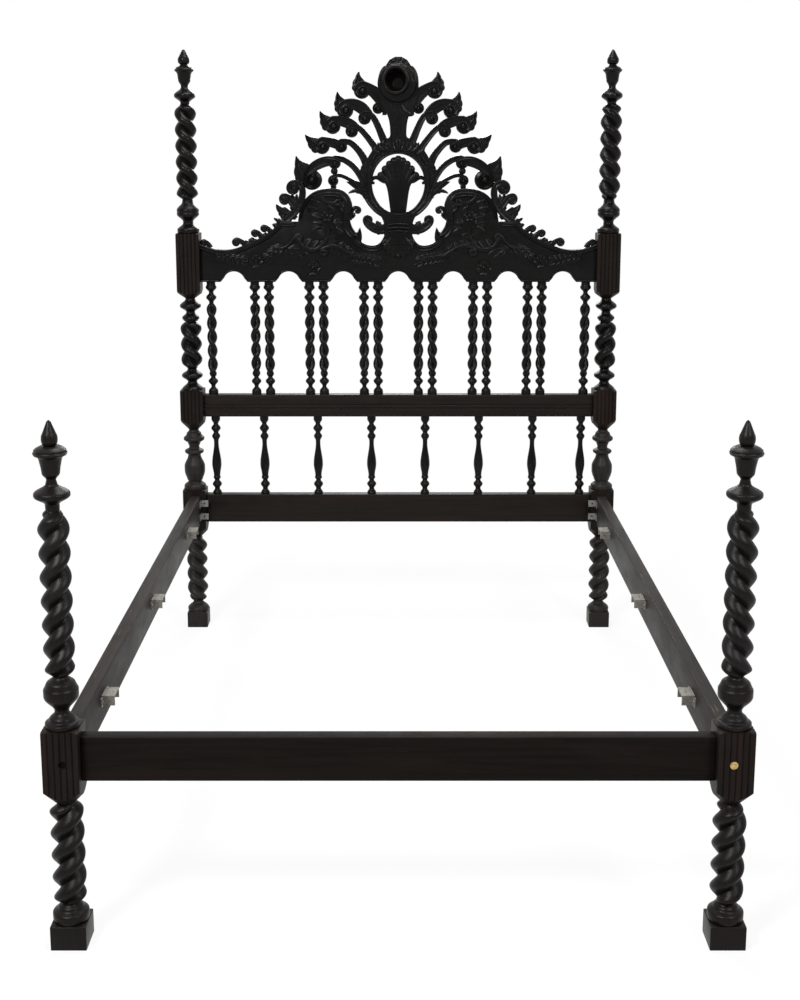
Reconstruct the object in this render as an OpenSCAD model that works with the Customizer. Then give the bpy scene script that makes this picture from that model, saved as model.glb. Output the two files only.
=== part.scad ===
// Four-post bedstead with rope-twist turned posts and a carved, pierced crest.
// X runs across the bed, Y from the foot (-Y) to the head (+Y), Z up from the floor.
// The origin lies on the floor, midway between the four posts.

/* [Bed] */
// Distance across the bed between post centres
bed_w = 1420; // [1300:10:1560]
// Distance along the bed between post centres
bed_l = 2000; // [1860:10:2140]
// Side clearance of a wooden joint
joint_gap = 0.2; // [0.1:0.05:0.4]

/* [Post blocks] */
// Side of the square blocks that take the rails
block_w = 78; // [74:1:84]
// Side of the head posts' square feet
foot_w = 71; // [66:1:74]
// Side of the foot posts' square feet
front_foot_w = 78; // [70:1:80]
// Height of the square feet
foot_h = 55; // [48:1:62]
// Height of the turned leg between foot and rail block
leg_h = 271; // [252:1:292]
// Height of the cone-shaped shoulder under a rail block
shoulder_h = 40; // [35:1:46]
// Height of the square part of the rail block
rail_block_h = 134; // [126:1:144]
// Height of the square part of the head post's middle block
mid_block_h = 100; // [94:1:110]
// Height of the shoulder under the middle block
mid_shoulder_h = 40; // [36:1:44]
// Height of the square part of the head post's top block
top_block_h = 193; // [180:1:210]
// Height of the shoulder under the top block
top_shoulder_h = 28; // [25:1:32]
// Number of V grooves on a reeded face
reed_n = 5; // [3:1:6]
// Width of one V groove
reed_w = 5; // [3:0.5:7]

/* [Rope-twist shafts] */
// Diameter over the strands of a leg
leg_rope_d = 72; // [68:1:75]
// Diameter over the strands of the foot post's upper shaft
foot_rope_d = 65.5; // [62:0.5:70]
// Diameter over the strands of the head post's shafts
head_rope_d = 72; // [67:0.5:75]
// Height in which one strand of a leg goes once round
leg_pitch = 101.5; // [94:0.5:108]
// Height in which one strand of the foot post's upper shaft goes once round
foot_pitch = 103; // [96:1:110]
// Height in which one strand of the head post's shafts goes once round
head_pitch = 106.5; // [100:0.5:113]
// Length of the foot post's upper twist
foot_twist_h = 357; // [330:1:390]
// Length of the head post's middle twist
mid_twist_h = 165; // [150:1:180]
// Length of the head post's upper twist
head_twist_h = 314; // [290:1:340]

/* [Rails] */
// Thickness of every rail
rail_t = 34; // [30:1:38]
// Height of the foot, side and head rails
rail_h = 99; // [90:1:106]
// How far a rail's lower edge stands above the block's square lower edge
rail_rise = 16; // [12:1:18]
// How far the side rails stand inboard of the post centres
side_inset = 5; // [3:1:8]
// Height of the headboard's middle rail
mid_rail_h = 77; // [70:1:82]
// How far the middle rail stands above its block's square lower edge
mid_rail_rise = 6; // [4:1:10]
// Length of the rail tenons
tenon_l = 24; // [20:1:26]
// Thickness of the rail tenons
tenon_t = 14; // [10:1:16]
// Height taken off each edge of a rail at its tenon
tenon_shoulder = 14; // [10:1:18]

/* [Headboard] */
// How far the crest board's lower edge stands above the top block's square lower edge
crest_rise = 28; // [22:1:34]
// Thickness of the crest planks
crest_t = 30; // [26:1:32]
// Number of arches along the crest board
arch_n = 7; // [5:2:9]
// Radius of each arch's round top
arch_r = 38; // [34:1:40]
// Flat end of the crest board beyond the last arch's bay
arch_end = 20; // [14:1:26]
// Distance between the two spindles of a pair
pair_gap = 48; // [44:1:54]
// Distance from the post block to the outer twisted spindle's centre
outer_twist_inset = 33; // [28:1:38]
// Distance from the post block to the outer vase spindle's centre
outer_vase_inset = 38; // [32:1:44]
// Diameter over the strands of a twisted spindle
spindle_rope_d = 34.5; // [32:0.5:37]
// Height in which a spindle's strand goes once round
spindle_pitch = 95; // [88:1:102]
// Diameter of the pins that hold the spindles
spindle_pin_d = 12; // [9:0.5:13]
// Length of the pins that hold the spindles
spindle_pin_l = 16; // [12:1:20]

/* [Crest carving] */
// Unit of the crest's drawing: the lengths typed in it are multiples of this
cu = 1; // [0.94:0.01:1.03]
// Height of the joint between the two crest planks above the board's lower edge
plank_joint = 205; // [200:1:210]
// Height of the oval's centre above the board's lower edge
oval_z = 330; // [324:1:336]
// Half-width of the oval opening
oval_a = 88; // [82:1:92]
// Half-height of the oval opening
oval_b = 99; // [94:1:104]
// Width of the oval's band
oval_band = 17; // [14:1:20]
// Radius of the fan's volutes
volute_r = 20; // [18:1:22]
// Length of the leaf tip on an outer volute
leaf_l = 70; // [58:1:80]
// Height of the rocaille's centre above the board's lower edge
rocaille_z = 658; // [652:1:664]
// Radius of the rocaille where it stands on the crest
rocaille_r = 70; // [66:1:73]
// How far the rocaille stands out of the crest
rocaille_depth = 62; // [50:1:75]
// Diameter of the dowels between the crest planks
dowel_d = 12; // [8:1:14]
// Length of the dowels between the crest planks
dowel_l = 50; // [36:2:50]

/* [Finials] */
// Height of a foot post's drop finial
foot_drop_h = 54; // [46:1:62]
// Height of a head post's drop finial
head_drop_h = 48; // [40:1:56]
// Greatest diameter of a foot post's drop finial
foot_drop_d = 34; // [30:1:38]
// Greatest diameter of a head post's drop finial
head_drop_d = 40; // [36:1:44]
// Diameter of a finial's pin
drop_pin_d = 11; // [8:1:13]
// Length of a finial's pin
drop_pin_l = 26; // [18:1:32]

/* [Ironwork] */
// Shank diameter of the bed bolts
bolt_d = 10; // [8:0.5:11]
// Diameter of the bolt's round head
bolt_head_d = 17; // [15:0.5:18]
// Depth of the pocket for the bolt's head
bolt_pocket = 16; // [13:1:20]
// How deep the bolt reaches into the side rail
bolt_reach = 80; // [65:1:100]
// Side of the square nut
nut_w = 22; // [19:1:24]
// Thickness of the square nut
nut_t = 9; // [7:1:11]
// How far a slat bracket's top lies under the rail's top
bracket_drop = 33; // [28:1:40]
// How far a slat bracket stands out from the rail
bracket_out = 30; // [24:1:36]
// Length of a slat bracket's seat along the rail
bracket_l = 52; // [44:1:60]
// Height of a slat bracket
bracket_h = 24; // [20:1:30]
// Length of each screwed ear of a slat bracket
ear_l = 14; // [12:1:18]
// Thickness of the iron
iron_t = 3; // [2:0.5:4]
// Distance from the rail's foot end to the first bracket's centre
bracket_start = 271; // [220:1:320]
// Distance between neighbouring brackets
bracket_pitch = 675; // [600:1:690]
// Length of each leg of a corner plate
plate_l = 27; // [24:1:30]
// Height of a corner plate
plate_h = 22; // [18:1:26]
// Distance between a corner's two plates
plate_pitch = 46; // [36:1:54]
// Shank diameter of the small screws
screw_d = 4; // [3:0.5:5]

/* [Hidden] */
LEFT = -1;
RIGHT = 1;
FOOT = -1;
HEAD = 1;
// How a turned outline runs up to a station
LINE = 0;   // straight
OGEE = 1;   // S curve, along the axis at both ends
COVE = 2;   // leaves square to the axis, arrives along it
SWELL = 3;  // leaves along the axis, arrives square to it
CURVE_STEPS = 5;
EASE = 0.01;         // overlap that lets two joined shapes merge
STUB = 3;            // length of a turned neck's stub inside its rope shaft
DEEP = 2;            // how far a cut runs past a surface, or a core into its neighbour
CORNER = 0.72;       // a block's corner radius as a share of its side, a little over 1/sqrt(2)
bolt_gap = 0.5;      // radial clearance of a bolt in its wooden bore
metal_gap = 0.1;     // radial clearance of a metal pin in a metal hole
cap_t = 3;           // thickness of the brass bolt cover
bolt_head_t = 7;     // thickness of the bolt's head
screw_head_d = 8;    // diameter of a small screw's head
screw_l = 18;        // length of a small screw's shank
screw_head_t = 2;    // thickness of a small screw's head
pivot_hole_d = 6;    // hole in a corner plate's free leg
stub_l = 15;         // length of a side rail's stub tenon

// Turned outlines as [height above the outline's start, diameter, way of running there]
HEAD_LEG_BASE = [[0, 70, LINE], [3, 73, COVE], [9, 74, LINE], [35, 33, OGEE], [37, 33, LINE]];
FOOT_LEG_BASE = [[0, 70, LINE], [8, 78, COVE], [19, 78, LINE], [31, 54, OGEE], [41, 37, OGEE]];
FOOT_BULB = [
    [0, 64, LINE], [4, 73, COVE], [10, 73, LINE], [16, 56, OGEE], [18, 55, LINE], [34, 31, OGEE],
    [36, 31, LINE], [70, 74, OGEE], [83, 74, LINE], [96, 63, OGEE], [113, 31, OGEE]
];
FOOT_URN = [
    [0, 29, LINE], [14, 30, LINE], [33, 75, OGEE], [37, 75, LINE], [58, 24, OGEE], [66, 20, LINE],
    [80, 37, OGEE], [111, 48, LINE], [119, 68, OGEE], [123, 71, LINE], [129, 66, LINE],
    [133, 57, LINE], [137, 41, LINE]
];
HEAD_VASE = [
    [0, 72, LINE], [5, 76, COVE], [12, 75, LINE], [28, 46, OGEE], [30, 46, LINE], [75, 71, COVE],
    [80, 71, LINE], [121, 43.5, OGEE], [132, 65, OGEE], [136, 65, LINE], [147, 35.5, OGEE],
    [152, 35, LINE], [163, 43, OGEE], [177, 71.5, OGEE], [181, 71.5, LINE], [193, 52, OGEE],
    [197, 50, LINE], [208, 34, OGEE], [212, 34, LINE]
];
MID_BASE = [
    [0, 72, LINE], [2, 72, LINE], [27, 32, OGEE], [28, 32, LINE], [48, 71.5, OGEE],
    [51, 71.5, LINE], [71, 31, OGEE], [73, 31, LINE]
];
MID_RINGS = [
    [0, 47, LINE], [9, 58.5, OGEE], [11, 58.5, LINE], [29, 30, OGEE], [31, 30, LINE],
    [50, 71.5, OGEE], [53, 71.5, LINE], [75, 33, OGEE], [78, 33, LINE]
];
HEAD_BULB = [
    [0, 66, LINE], [8, 74, COVE], [12, 74.5, LINE], [34, 34.5, OGEE], [39, 34, LINE],
    [64, 74.5, OGEE], [69, 74.5, LINE], [71, 72, LINE], [74, 74.5, LINE], [78, 74.5, LINE],
    [106, 36, OGEE], [113, 35, LINE]
];
HEAD_URN = [
    [0, 30, LINE], [5, 30.5, LINE], [26, 71, OGEE], [30, 71, LINE], [55, 24, OGEE], [58, 23.5, LINE],
    [78, 41, OGEE], [98, 46, LINE], [109, 63, OGEE], [113, 64, LINE], [119, 53.5, LINE],
    [125, 28, LINE], [130, 24, LINE]
];
TWIST_FOOT = [
    [0, 31, LINE], [8, 33, COVE], [13, 32, LINE], [27, 14, OGEE], [29, 14, LINE], [45, 33, OGEE],
    [47, 33, LINE], [60, 15, OGEE], [62, 15, LINE]
];
TWIST_TOP = [
    [0, 15.5, LINE], [2, 15.5, LINE], [18, 35, OGEE], [20, 35, LINE], [34, 15.5, OGEE],
    [36, 15.5, LINE], [52, 37, OGEE], [54, 37, LINE], [62, 30, OGEE], [72, 30, LINE]
];
VASE_FOOT = [
    [0, 27, LINE], [5, 31, COVE], [18, 17.5, OGEE], [20, 17.5, LINE], [34, 32, OGEE], [36, 32, LINE],
    [49, 16.5, OGEE], [58, 25, OGEE], [60, 25, LINE], [64, 22, OGEE]
];
VASE_TOP = [
    [0, 16, LINE], [8, 16.5, LINE], [23, 28.5, OGEE], [25, 28.5, LINE], [36, 16.5, OGEE],
    [51, 32.5, OGEE], [53, 32.5, LINE], [67, 16, OGEE], [83, 30, OGEE], [95, 30, LINE]
];
// Drop finial's outline in shares of its height and of its greatest diameter
DROP = [
    [0, 0.6, LINE], [0.28, 1, COVE], [0.4, 0.96, LINE], [0.5, 0.82, LINE], [0.75, 0.5, LINE],
    [0.94, 0.26, LINE], [1, 0.05, LINE]
];
vase_d = 32.5;       // greatest diameter of a vase spindle
vase_belly = 0.36;   // height of the vase's belly as a share of the vase
leg_neck_d = 35;     // diameter of a leg's neck under the rail block

// Hand of each twist as the photograph shows it: 1 rises to the right, -1 to the left
FOOT_LEG_HAND = [1, 1];
FOOT_SHAFT_HAND = [1, -1];
HEAD_LEG_HAND = [-1, 1];
HEAD_MID_HAND = [-1, 1];
HEAD_SHAFT_HAND = [-1, -1];

// Height above each twist's start at which a strand faces the side, on the left and the right post
FOOT_LEG_BULGE = [6, 36];
FOOT_SHAFT_BULGE = [5, 8];
HEAD_LEG_BULGE = [0, 8];
HEAD_MID_BULGE = [34, 34];
HEAD_SHAFT_BULGE = [20, 42];
SPINDLE_BULGE = 44;

// Strand's radius as a share of the rope's diameter
POST_STRAND = 0.325;
SPINDLE_STRAND = 0.29;

function height(outline) = outline[len(outline) - 1][0];
function end_d(outline) = outline[len(outline) - 1][1];
function which(pair, s) = pair[(s + 1) / 2];

// Heights from the floor up
z_neck = foot_h + leg_h;
z_block = z_neck + shoulder_h;
z_block_top = z_block + rail_block_h;
z_rail = z_block + rail_rise;
z_rail_top = z_rail + rail_h;
z_mid_neck = z_block_top + height(HEAD_VASE);
z_mid = z_mid_neck + mid_shoulder_h;
z_mid_top = z_mid + mid_block_h;
z_mid_rail = z_mid + mid_rail_rise;
z_mid_rail_top = z_mid_rail + mid_rail_h;
z_top_neck = z_mid_top + height(MID_BASE) + mid_twist_h + height(MID_RINGS);
z_top = z_top_neck + top_shoulder_h;
z_top_top = z_top + top_block_h;
z_crest = z_top + crest_rise;
z_foot_urn = z_block_top + height(FOOT_BULB) + foot_twist_h;
z_head_urn = z_top_top + height(HEAD_BULB) + head_twist_h;
z_foot_drop = z_foot_urn + height(FOOT_URN);
z_head_drop = z_head_urn + height(HEAD_URN);

// Lines along the bed
post_x = bed_w / 2;
post_y = bed_l / 2;
inner_x = post_x - block_w / 2;
inner_y = post_y - block_w / 2;
span = 2 * inner_x;
side_x = post_x - side_inset;
side_face = side_x - rail_t / 2;
side_l = 2 * inner_y;
arch_pitch = (span - 2 * arch_end) / arch_n;
z_bolt = z_rail + rail_h / 2 - 4;
y_nut = -inner_y + bolt_reach - nut_t - DEEP * 3;
bolt_seat_y = -post_y - block_w / 2 + bolt_pocket;
z_bracket = z_rail_top - bracket_drop;
bracket_ys = [for (i = [0:2]) -inner_y + bracket_start + i * bracket_pitch];
plate_zs = [for (i = [0:1]) z_rail + rail_h / 2 - plate_pitch / 2 + i * plate_pitch];
dowel_xs = cu * [-300, -200, 0, 200, 300];

WOOD = "#2a211e";
DARK_WOOD = "#1d1a19";
RAIL_WOOD = "#4a403b";
IRON = "#8d8a7c";
BRASS = "#b08d4a";

// ---- Turning ----

// Point at share t of the way from station a to station b
function station_point(a, b, t) =
    let (turn = 90 * t,
         across = b[2] == COVE ? sin(turn) : b[2] == SWELL ? 1 - cos(turn) : b[2] == OGEE ? (1 - cos(2 * turn)) / 2 : t,
         along = b[2] == COVE ? 1 - cos(turn) : b[2] == SWELL ? sin(turn) : t)
    [(a[1] + (b[1] - a[1]) * across) / 2, a[0] + (b[0] - a[0]) * along];

function outline_points(s) = concat(
    [[s[0][1] / 2, s[0][0]]],
    [for (i = [1:len(s) - 1])
        let (steps = s[i][2] == LINE ? 1 : CURVE_STEPS)
        for (k = [1:steps]) station_point(s[i - 1], s[i], k / steps)]
);

// Outline moved up by dz
function raised(s, dz) = [for (p = s) [p[0] + dz, p[1], p[2]]];

// Solid turned to an outline, standing at height z, with straight stubs that sink into its neighbours
module turned(z, s, below = 0, above = 0) {
    first = s[0];
    last = s[len(s) - 1];
    translate([0, 0, z])
        rotate_extrude($fn = 48)
            polygon(concat(
                [[0, first[0] - below]],
                below > 0 ? [[first[1] / 2, first[0] - below]] : [],
                outline_points(s),
                above > 0 ? [[last[1] / 2, last[0] + above]] : [],
                [[0, last[0] + above]]
            ));
}

// Half-width of a two-strand rope's section at angle a from the line through its strands
function rope_half(a, reach, strand) = reach * abs(cos(a)) + sqrt(strand * strand - pow(reach * sin(a), 2));

// Share of its full swelling that the rope has at height z of h, fading over length fade
function rope_share(z, h, fade) = let (u = min(z, h - z) / fade) u >= 1 ? 1 : sin(90 * max(u, 0));

// Two-strand rope twist of height h from height z, with hand 1 or -1 and a bulge to the side at height bulge
module rope(z, h, d, strand_share, core, pitch, hand, bulge, sides, ring_turn) {
    strand = strand_share * d;
    reach = d / 2 - strand;
    rings = ceil(h * 360 / pitch / ring_turn);
    fade = 0.2 * pitch;
    points = [
        for (k = [0:rings]) let (zk = h * k / rings, share = rope_share(zk, h, fade))
        for (j = [0:sides - 1]) let (a = 360 * j / sides, turn = hand * 360 * (zk - bulge) / pitch)
        let (r = core + (rope_half(a, reach, strand) - core) * share)
        [r * cos(a + turn), r * sin(a + turn), zk]
    ];
    walls = [
        for (k = [0:rings - 1]) for (j = [0:sides - 1])
        let (a = k * sides + j, b = k * sides + (j + 1) % sides, c = b + sides, e = a + sides)
        // each wall is split along its shorter diagonal
        for (face = hand > 0 ? [[a, e, b], [b, e, c]] : [[a, e, c], [a, c, b]]) face
    ];
    lid = [for (j = [sides - 1:-1:0]) rings * sides + j];
    base = [for (j = [0:sides - 1]) j];
    translate([0, 0, z]) polyhedron(points, concat([base], walls, [lid]), convexity = 8);
}

// Rope shaft between two turned necks, sunk into both
module shaft(z, h, d, neck_low, neck_high, pitch, hand, bulge, strand_share = POST_STRAND, sides = 12, ring_turn = 30) {
    core = min(neck_low, neck_high) / 2 - 0.5;
    rope(z - DEEP, h + 2 * DEEP, d, strand_share, core, pitch, hand, bulge + DEEP, sides, ring_turn);
}

// ---- Blocks ----

// Square block with a turned shoulder below and eased corners above
module block(z, w, h, shoulder, neck_d) {
    corner = CORNER * w;
    intersection() {
        translate([-w / 2, -w / 2, z - shoulder]) cube([w, w, shoulder + h]);
        rotate_extrude($fn = 48)
            polygon([
                [0, z - shoulder], [neck_d / 2, z - shoulder], [corner, z], [corner, z + h - 5], [0.63 * w, z + h],
                [0, z + h]
            ]);
    }
}

// V grooves down one face of a block, cut from the -Y side
module reeds(z, w, h) {
    pitch = w / (reed_n + 1);
    for (i = [1:reed_n])
        translate([-w / 2 + i * pitch, -w / 2, z])
            rotate([0, 0, 45])
                cube([reed_w * 0.7, reed_w * 0.7, h], center = false);
}

// The reeded faces: the front and the outer side
module reeded(s, z, w, h) {
    for (turn = [0, s * 90]) rotate([0, 0, turn]) translate([0, -reed_w / 2, z]) reeds(0, w, h);
}

// Mortise in a post's inner face for a cross rail's tenon, at height z
module cross_mortise(s, z, h, t) {
    translate([-s * (block_w / 2 + (DEEP - tenon_l - joint_gap) / 2), 0, z + h / 2])
        cube([tenon_l + joint_gap + DEEP, t + 2 * joint_gap, h - 2 * tenon_shoulder + 2 * joint_gap], center = true);
}

// Mortise in a post for a side rail's stub tenon
module side_mortise(s, e) {
    translate([-s * side_inset, -e * (block_w / 2 + (DEEP - stub_l - joint_gap) / 2), z_rail + rail_h / 2])
        cube([tenon_t + 2 * joint_gap, stub_l + joint_gap + DEEP, rail_h - 2 * tenon_shoulder + 2 * joint_gap], center = true);
}

// Bore and head pocket for a bed bolt, in a foot post's own frame
module bolt_bore(s) {
    translate([-s * side_inset, -block_w / 2 - DEEP, z_bolt]) rotate([-90, 0, 0]) {
        cylinder(d = bolt_d + 2 * bolt_gap, h = block_w + 2 * DEEP, $fn = 48);
        cylinder(d = bolt_head_d + 2 * bolt_gap, h = bolt_pocket + DEEP, $fn = 48);
    }
}

module finial_hole(z) {
    translate([0, 0, z - drop_pin_l - 1]) cylinder(d = drop_pin_d + 2 * joint_gap, h = drop_pin_l + 1 + DEEP, $fn = 48);
}

// Square foot, turned base and twisted leg, up to the rail block
module leg(w, base, hand, bulge) {
    translate([-w / 2, -w / 2, 0]) cube([w, w, foot_h]);
    turned(foot_h, base, below = DEEP, above = STUB);
    shaft(foot_h + height(base), leg_h - height(base), leg_rope_d, end_d(base), leg_neck_d,
        leg_pitch, hand, bulge);
}

module foot_post(s) {
    color(WOOD) translate([s * post_x, -post_y, 0]) difference() {
        union() {
            leg(front_foot_w, FOOT_LEG_BASE, which(FOOT_LEG_HAND, s), which(FOOT_LEG_BULGE, s));
            block(z_block, block_w, rail_block_h, shoulder_h, leg_neck_d);
            turned(z_block_top, FOOT_BULB, below = DEEP, above = STUB);
            shaft(z_block_top + height(FOOT_BULB), foot_twist_h, foot_rope_d, end_d(FOOT_BULB), FOOT_URN[0][1],
                foot_pitch, which(FOOT_SHAFT_HAND, s), which(FOOT_SHAFT_BULGE, s));
            turned(z_foot_urn, FOOT_URN, below = STUB);
        }
        cross_mortise(s, z_rail, rail_h, tenon_t);
        side_mortise(s, FOOT);
        bolt_bore(s);
        reeded(s, z_block - shoulder_h, block_w, shoulder_h + rail_block_h);
        finial_hole(z_foot_drop);
    }
}

module head_post(s) {
    color(WOOD) translate([s * post_x, post_y, 0]) difference() {
        union() {
            leg(foot_w, HEAD_LEG_BASE, which(HEAD_LEG_HAND, s), which(HEAD_LEG_BULGE, s));
            block(z_block, block_w, rail_block_h, shoulder_h, leg_neck_d);
            turned(z_block_top, HEAD_VASE, below = DEEP, above = DEEP);
            block(z_mid, block_w, mid_block_h, mid_shoulder_h, end_d(HEAD_VASE) + 1);
            turned(z_mid_top, MID_BASE, below = DEEP, above = STUB);
            shaft(z_mid_top + height(MID_BASE), mid_twist_h, head_rope_d, end_d(MID_BASE), MID_RINGS[0][1],
                head_pitch, which(HEAD_MID_HAND, s), which(HEAD_MID_BULGE, s));
            turned(z_mid_top + height(MID_BASE) + mid_twist_h, MID_RINGS, below = STUB, above = DEEP);
            block(z_top, block_w, top_block_h, top_shoulder_h, end_d(MID_RINGS) + 1);
            turned(z_top_top, HEAD_BULB, below = DEEP, above = STUB);
            shaft(z_top_top + height(HEAD_BULB), head_twist_h, head_rope_d, end_d(HEAD_BULB), HEAD_URN[0][1],
                head_pitch, which(HEAD_SHAFT_HAND, s), which(HEAD_SHAFT_BULGE, s));
            turned(z_head_urn, HEAD_URN, below = STUB);
        }
        cross_mortise(s, z_rail, rail_h, tenon_t);
        cross_mortise(s, z_mid_rail, mid_rail_h, tenon_t);
        cross_mortise(s, z_crest, crest_end_h, tenon_t);
        side_mortise(s, HEAD);
        reeded(s, z_mid - mid_shoulder_h, block_w, mid_shoulder_h + mid_block_h);
        reeded(s, z_top - top_shoulder_h, block_w, top_shoulder_h + top_block_h);
        finial_hole(z_head_drop);
    }
}

// Drop-shaped tip with the pin that holds it in the urn
module finial(s, e, z, h, d) {
    color(WOOD) translate([s * post_x, e * post_y, z]) {
        turned(0, [for (p = DROP) [p[0] * h, p[1] * d, p[2]]]);
        translate([0, 0, -drop_pin_l]) cylinder(d = drop_pin_d, h = drop_pin_l + DEEP, $fn = 48);
    }
}

// ---- Rails ----

// Rail across the bed at length y, from height z, with a tenon at each end
module cross_rail(y, z, h) {
    translate([-inner_x, y - rail_t / 2, z]) cube([span, rail_t, h]);
    translate([-inner_x - tenon_l, y - tenon_t / 2, z + tenon_shoulder])
        cube([span + 2 * tenon_l, tenon_t, h - 2 * tenon_shoulder]);
}

module foot_rail() {
    color(RAIL_WOOD) cross_rail(-post_y, z_rail, rail_h);
}

module head_rail() {
    color(WOOD) difference() {
        cross_rail(post_y, z_rail, rail_h);
        for (x = vase_xs) spindle_hole(x, z_rail_top - spindle_pin_l);
    }
}

module middle_rail() {
    groove = 4;
    color(WOOD) difference() {
        cross_rail(post_y, z_mid_rail, mid_rail_h);
        for (drop = [0.47, 0.62])
            translate([-inner_x - DEEP, post_y - rail_t / 2, z_mid_rail_top - drop * mid_rail_h])
                rotate([45, 0, 0]) cube([span + 2 * DEEP, groove * 0.7, groove * 0.7]);
        for (x = vase_xs) spindle_hole(x, z_mid_rail - DEEP);
        for (x = twist_xs) spindle_hole(x, z_mid_rail_top - spindle_pin_l);
    }
}

// Side rail with stub tenons, the bolt's bore and the nut's slot
module side_rail(s) {
    color(RAIL_WOOD) difference() {
        union() {
            translate([s * side_x - rail_t / 2, -inner_y, z_rail]) cube([rail_t, side_l, rail_h]);
            translate([s * side_x - tenon_t / 2, -inner_y - stub_l, z_rail + tenon_shoulder])
                cube([tenon_t, side_l + 2 * stub_l, rail_h - 2 * tenon_shoulder]);
        }
        translate([s * side_x, -inner_y - stub_l - DEEP, z_bolt]) rotate([-90, 0, 0])
            cylinder(d = bolt_d + 2 * bolt_gap, h = stub_l + bolt_reach + 2 * DEEP, $fn = 48);
        nut_slot(s);
        for (y = bracket_ys) bracket_pilots(s, y);
        for (z = plate_zs) plate_pilot(s, z);
    }
}

// Slot let into the rail's inner face for the square nut
module nut_slot(s) {
    reach = rail_t / 2 + nut_w / 2 + joint_gap;
    translate([s * (side_face + reach / 2 - DEEP / 2), y_nut + nut_t / 2, z_bolt])
        cube([reach + DEEP, nut_t + joint_gap * 2, nut_w + 2 * joint_gap], center = true);
}

// ---- Headboard ----

half_pair = pair_gap / 2;
bay_edges = [for (i = [1:arch_n - 1]) (i - arch_n / 2) * arch_pitch];
twist_xs = concat(
    [-inner_x + outer_twist_inset],
    [for (x = bay_edges) for (d = [-half_pair, half_pair]) x + d],
    [inner_x - outer_twist_inset]
);
vase_xs = concat([-inner_x + outer_vase_inset], bay_edges, [inner_x - outer_vase_inset]);

module spindle_hole(x, z) {
    translate([x, post_y, z]) cylinder(d = spindle_pin_d + 2 * joint_gap, h = spindle_pin_l + DEEP, $fn = 48);
}

// Lower and upper end of a spindle with their pins, from height 0
function foot_end(foot) = concat([[0.5 - spindle_pin_l, spindle_pin_d, LINE], [0, spindle_pin_d, LINE]], foot);
function top_end(top) = concat(top, raised([[0, spindle_pin_d, LINE], [spindle_pin_l - 0.5, spindle_pin_d, LINE]], height(top)));

// Rope-twist spindle i between the middle rail and the crest board
module twist_spindle(i) {
    h = z_crest - z_mid_rail_top;
    twist_h = h - height(TWIST_FOOT) - height(TWIST_TOP);
    hand = i % 2 == 0 ? 1 : -1;
    color(WOOD) translate([twist_xs[i - 1], post_y, z_mid_rail_top]) union() {
        turned(0, foot_end(TWIST_FOOT), above = STUB);
        shaft(height(TWIST_FOOT), twist_h, spindle_rope_d, end_d(TWIST_FOOT), TWIST_TOP[0][1],
            spindle_pitch, hand, SPINDLE_BULGE, SPINDLE_STRAND, sides = 8, ring_turn = 45);
        turned(height(TWIST_FOOT) + twist_h, top_end(TWIST_TOP), below = STUB);
    }
}

// Vase-shaped spindle i between the head rail and the middle rail
module vase_spindle(i) {
    h = z_mid_rail - z_rail_top;
    vase_h = h - height(VASE_FOOT) - height(VASE_TOP);
    belly = [[vase_belly * vase_h, vase_d, OGEE], [vase_h, VASE_TOP[0][1], OGEE]];
    color(WOOD) translate([vase_xs[i - 1], post_y, z_rail_top]) turned(0, concat(
        foot_end(VASE_FOOT),
        raised(belly, height(VASE_FOOT)),
        raised([for (k = [1:len(VASE_TOP) + 1]) top_end(VASE_TOP)[k]], height(VASE_FOOT) + vase_h)
    ));
}

// ---- Crest ----
// The crest is drawn flat: u runs outwards from the middle, v up from the board's lower edge.

crest_end_h = 128;   // height of the crest board at the posts
FAN_N = 6;           // inner volutes on each side
OUTER_N = 4;         // outer volutes on each side above the large one

function bezier(p, t) =
    pow(1 - t, 3) * p[0] + 3 * t * pow(1 - t, 2) * p[1] + 3 * t * t * (1 - t) * p[2] + pow(t, 3) * p[3];
function bezier_way(p, t) =
    3 * pow(1 - t, 2) * (p[1] - p[0]) + 6 * t * (1 - t) * (p[2] - p[1]) + 3 * t * t * (p[3] - p[2]);
function aside(p, t, w) = let (way = bezier_way(p, t)) bezier(p, t) + [-way[1], way[0]] * (w / norm(way));
function curve(p, n = 6) = [for (k = [0:n]) bezier(p, k / n)];
// Point at distance r from the oval's centre, at angle a outwards from straight up
function fan_point(r, a) = [r * sin(a), oval_z + r * cos(a)];
function way_out(a) = [sin(a), cos(a)];
function way_round(a) = [cos(a), -sin(a)];
function oval_points(a, b, n = 40) = [for (k = [0:n - 1]) [a * sin(360 * k / n), oval_z + b * cos(360 * k / n)]];

// Flat ribbon along a curve, w0 wide at its start, w1 at its end and fuller by swell in the middle
module ribbon(p, w0, w1, swell = 0, n = 7) {
    half = [for (k = [0:n]) let (t = k / n) (w0 + (w1 - w0) * t + swell * sin(180 * t)) / 2];
    polygon(concat(
        [for (k = [0:n]) aside(p, k / n, half[k])],
        [for (k = [n:-1:0]) aside(p, k / n, -half[k])]
    ));
}

// Extrudes a flat crest shape to thickness t, centred on the headboard's plane and moved forward by out
module in_crest(t, out = 0) {
    translate([0, post_y + t / 2 - out, z_crest]) rotate([90, 0, 0]) linear_extrude(t) children();
}

module both_sides() {
    children();
    mirror([1, 0, 0]) children();
}

module both_halves() {
    children();
    mirror([1, 0]) children();
}

function inner_angle(i) = 15.4 + 14.5 * i;
function inner_reach(i) = cu * (217 + 36 * pow(1 - i / (FAN_N - 1), 2));
function outer_angle(i) = 22.5 + 14.2 * i;
function outer_reach(i) = cu * (278 + 46 * pow(1 - i / (OUTER_N - 1), 2));

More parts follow.
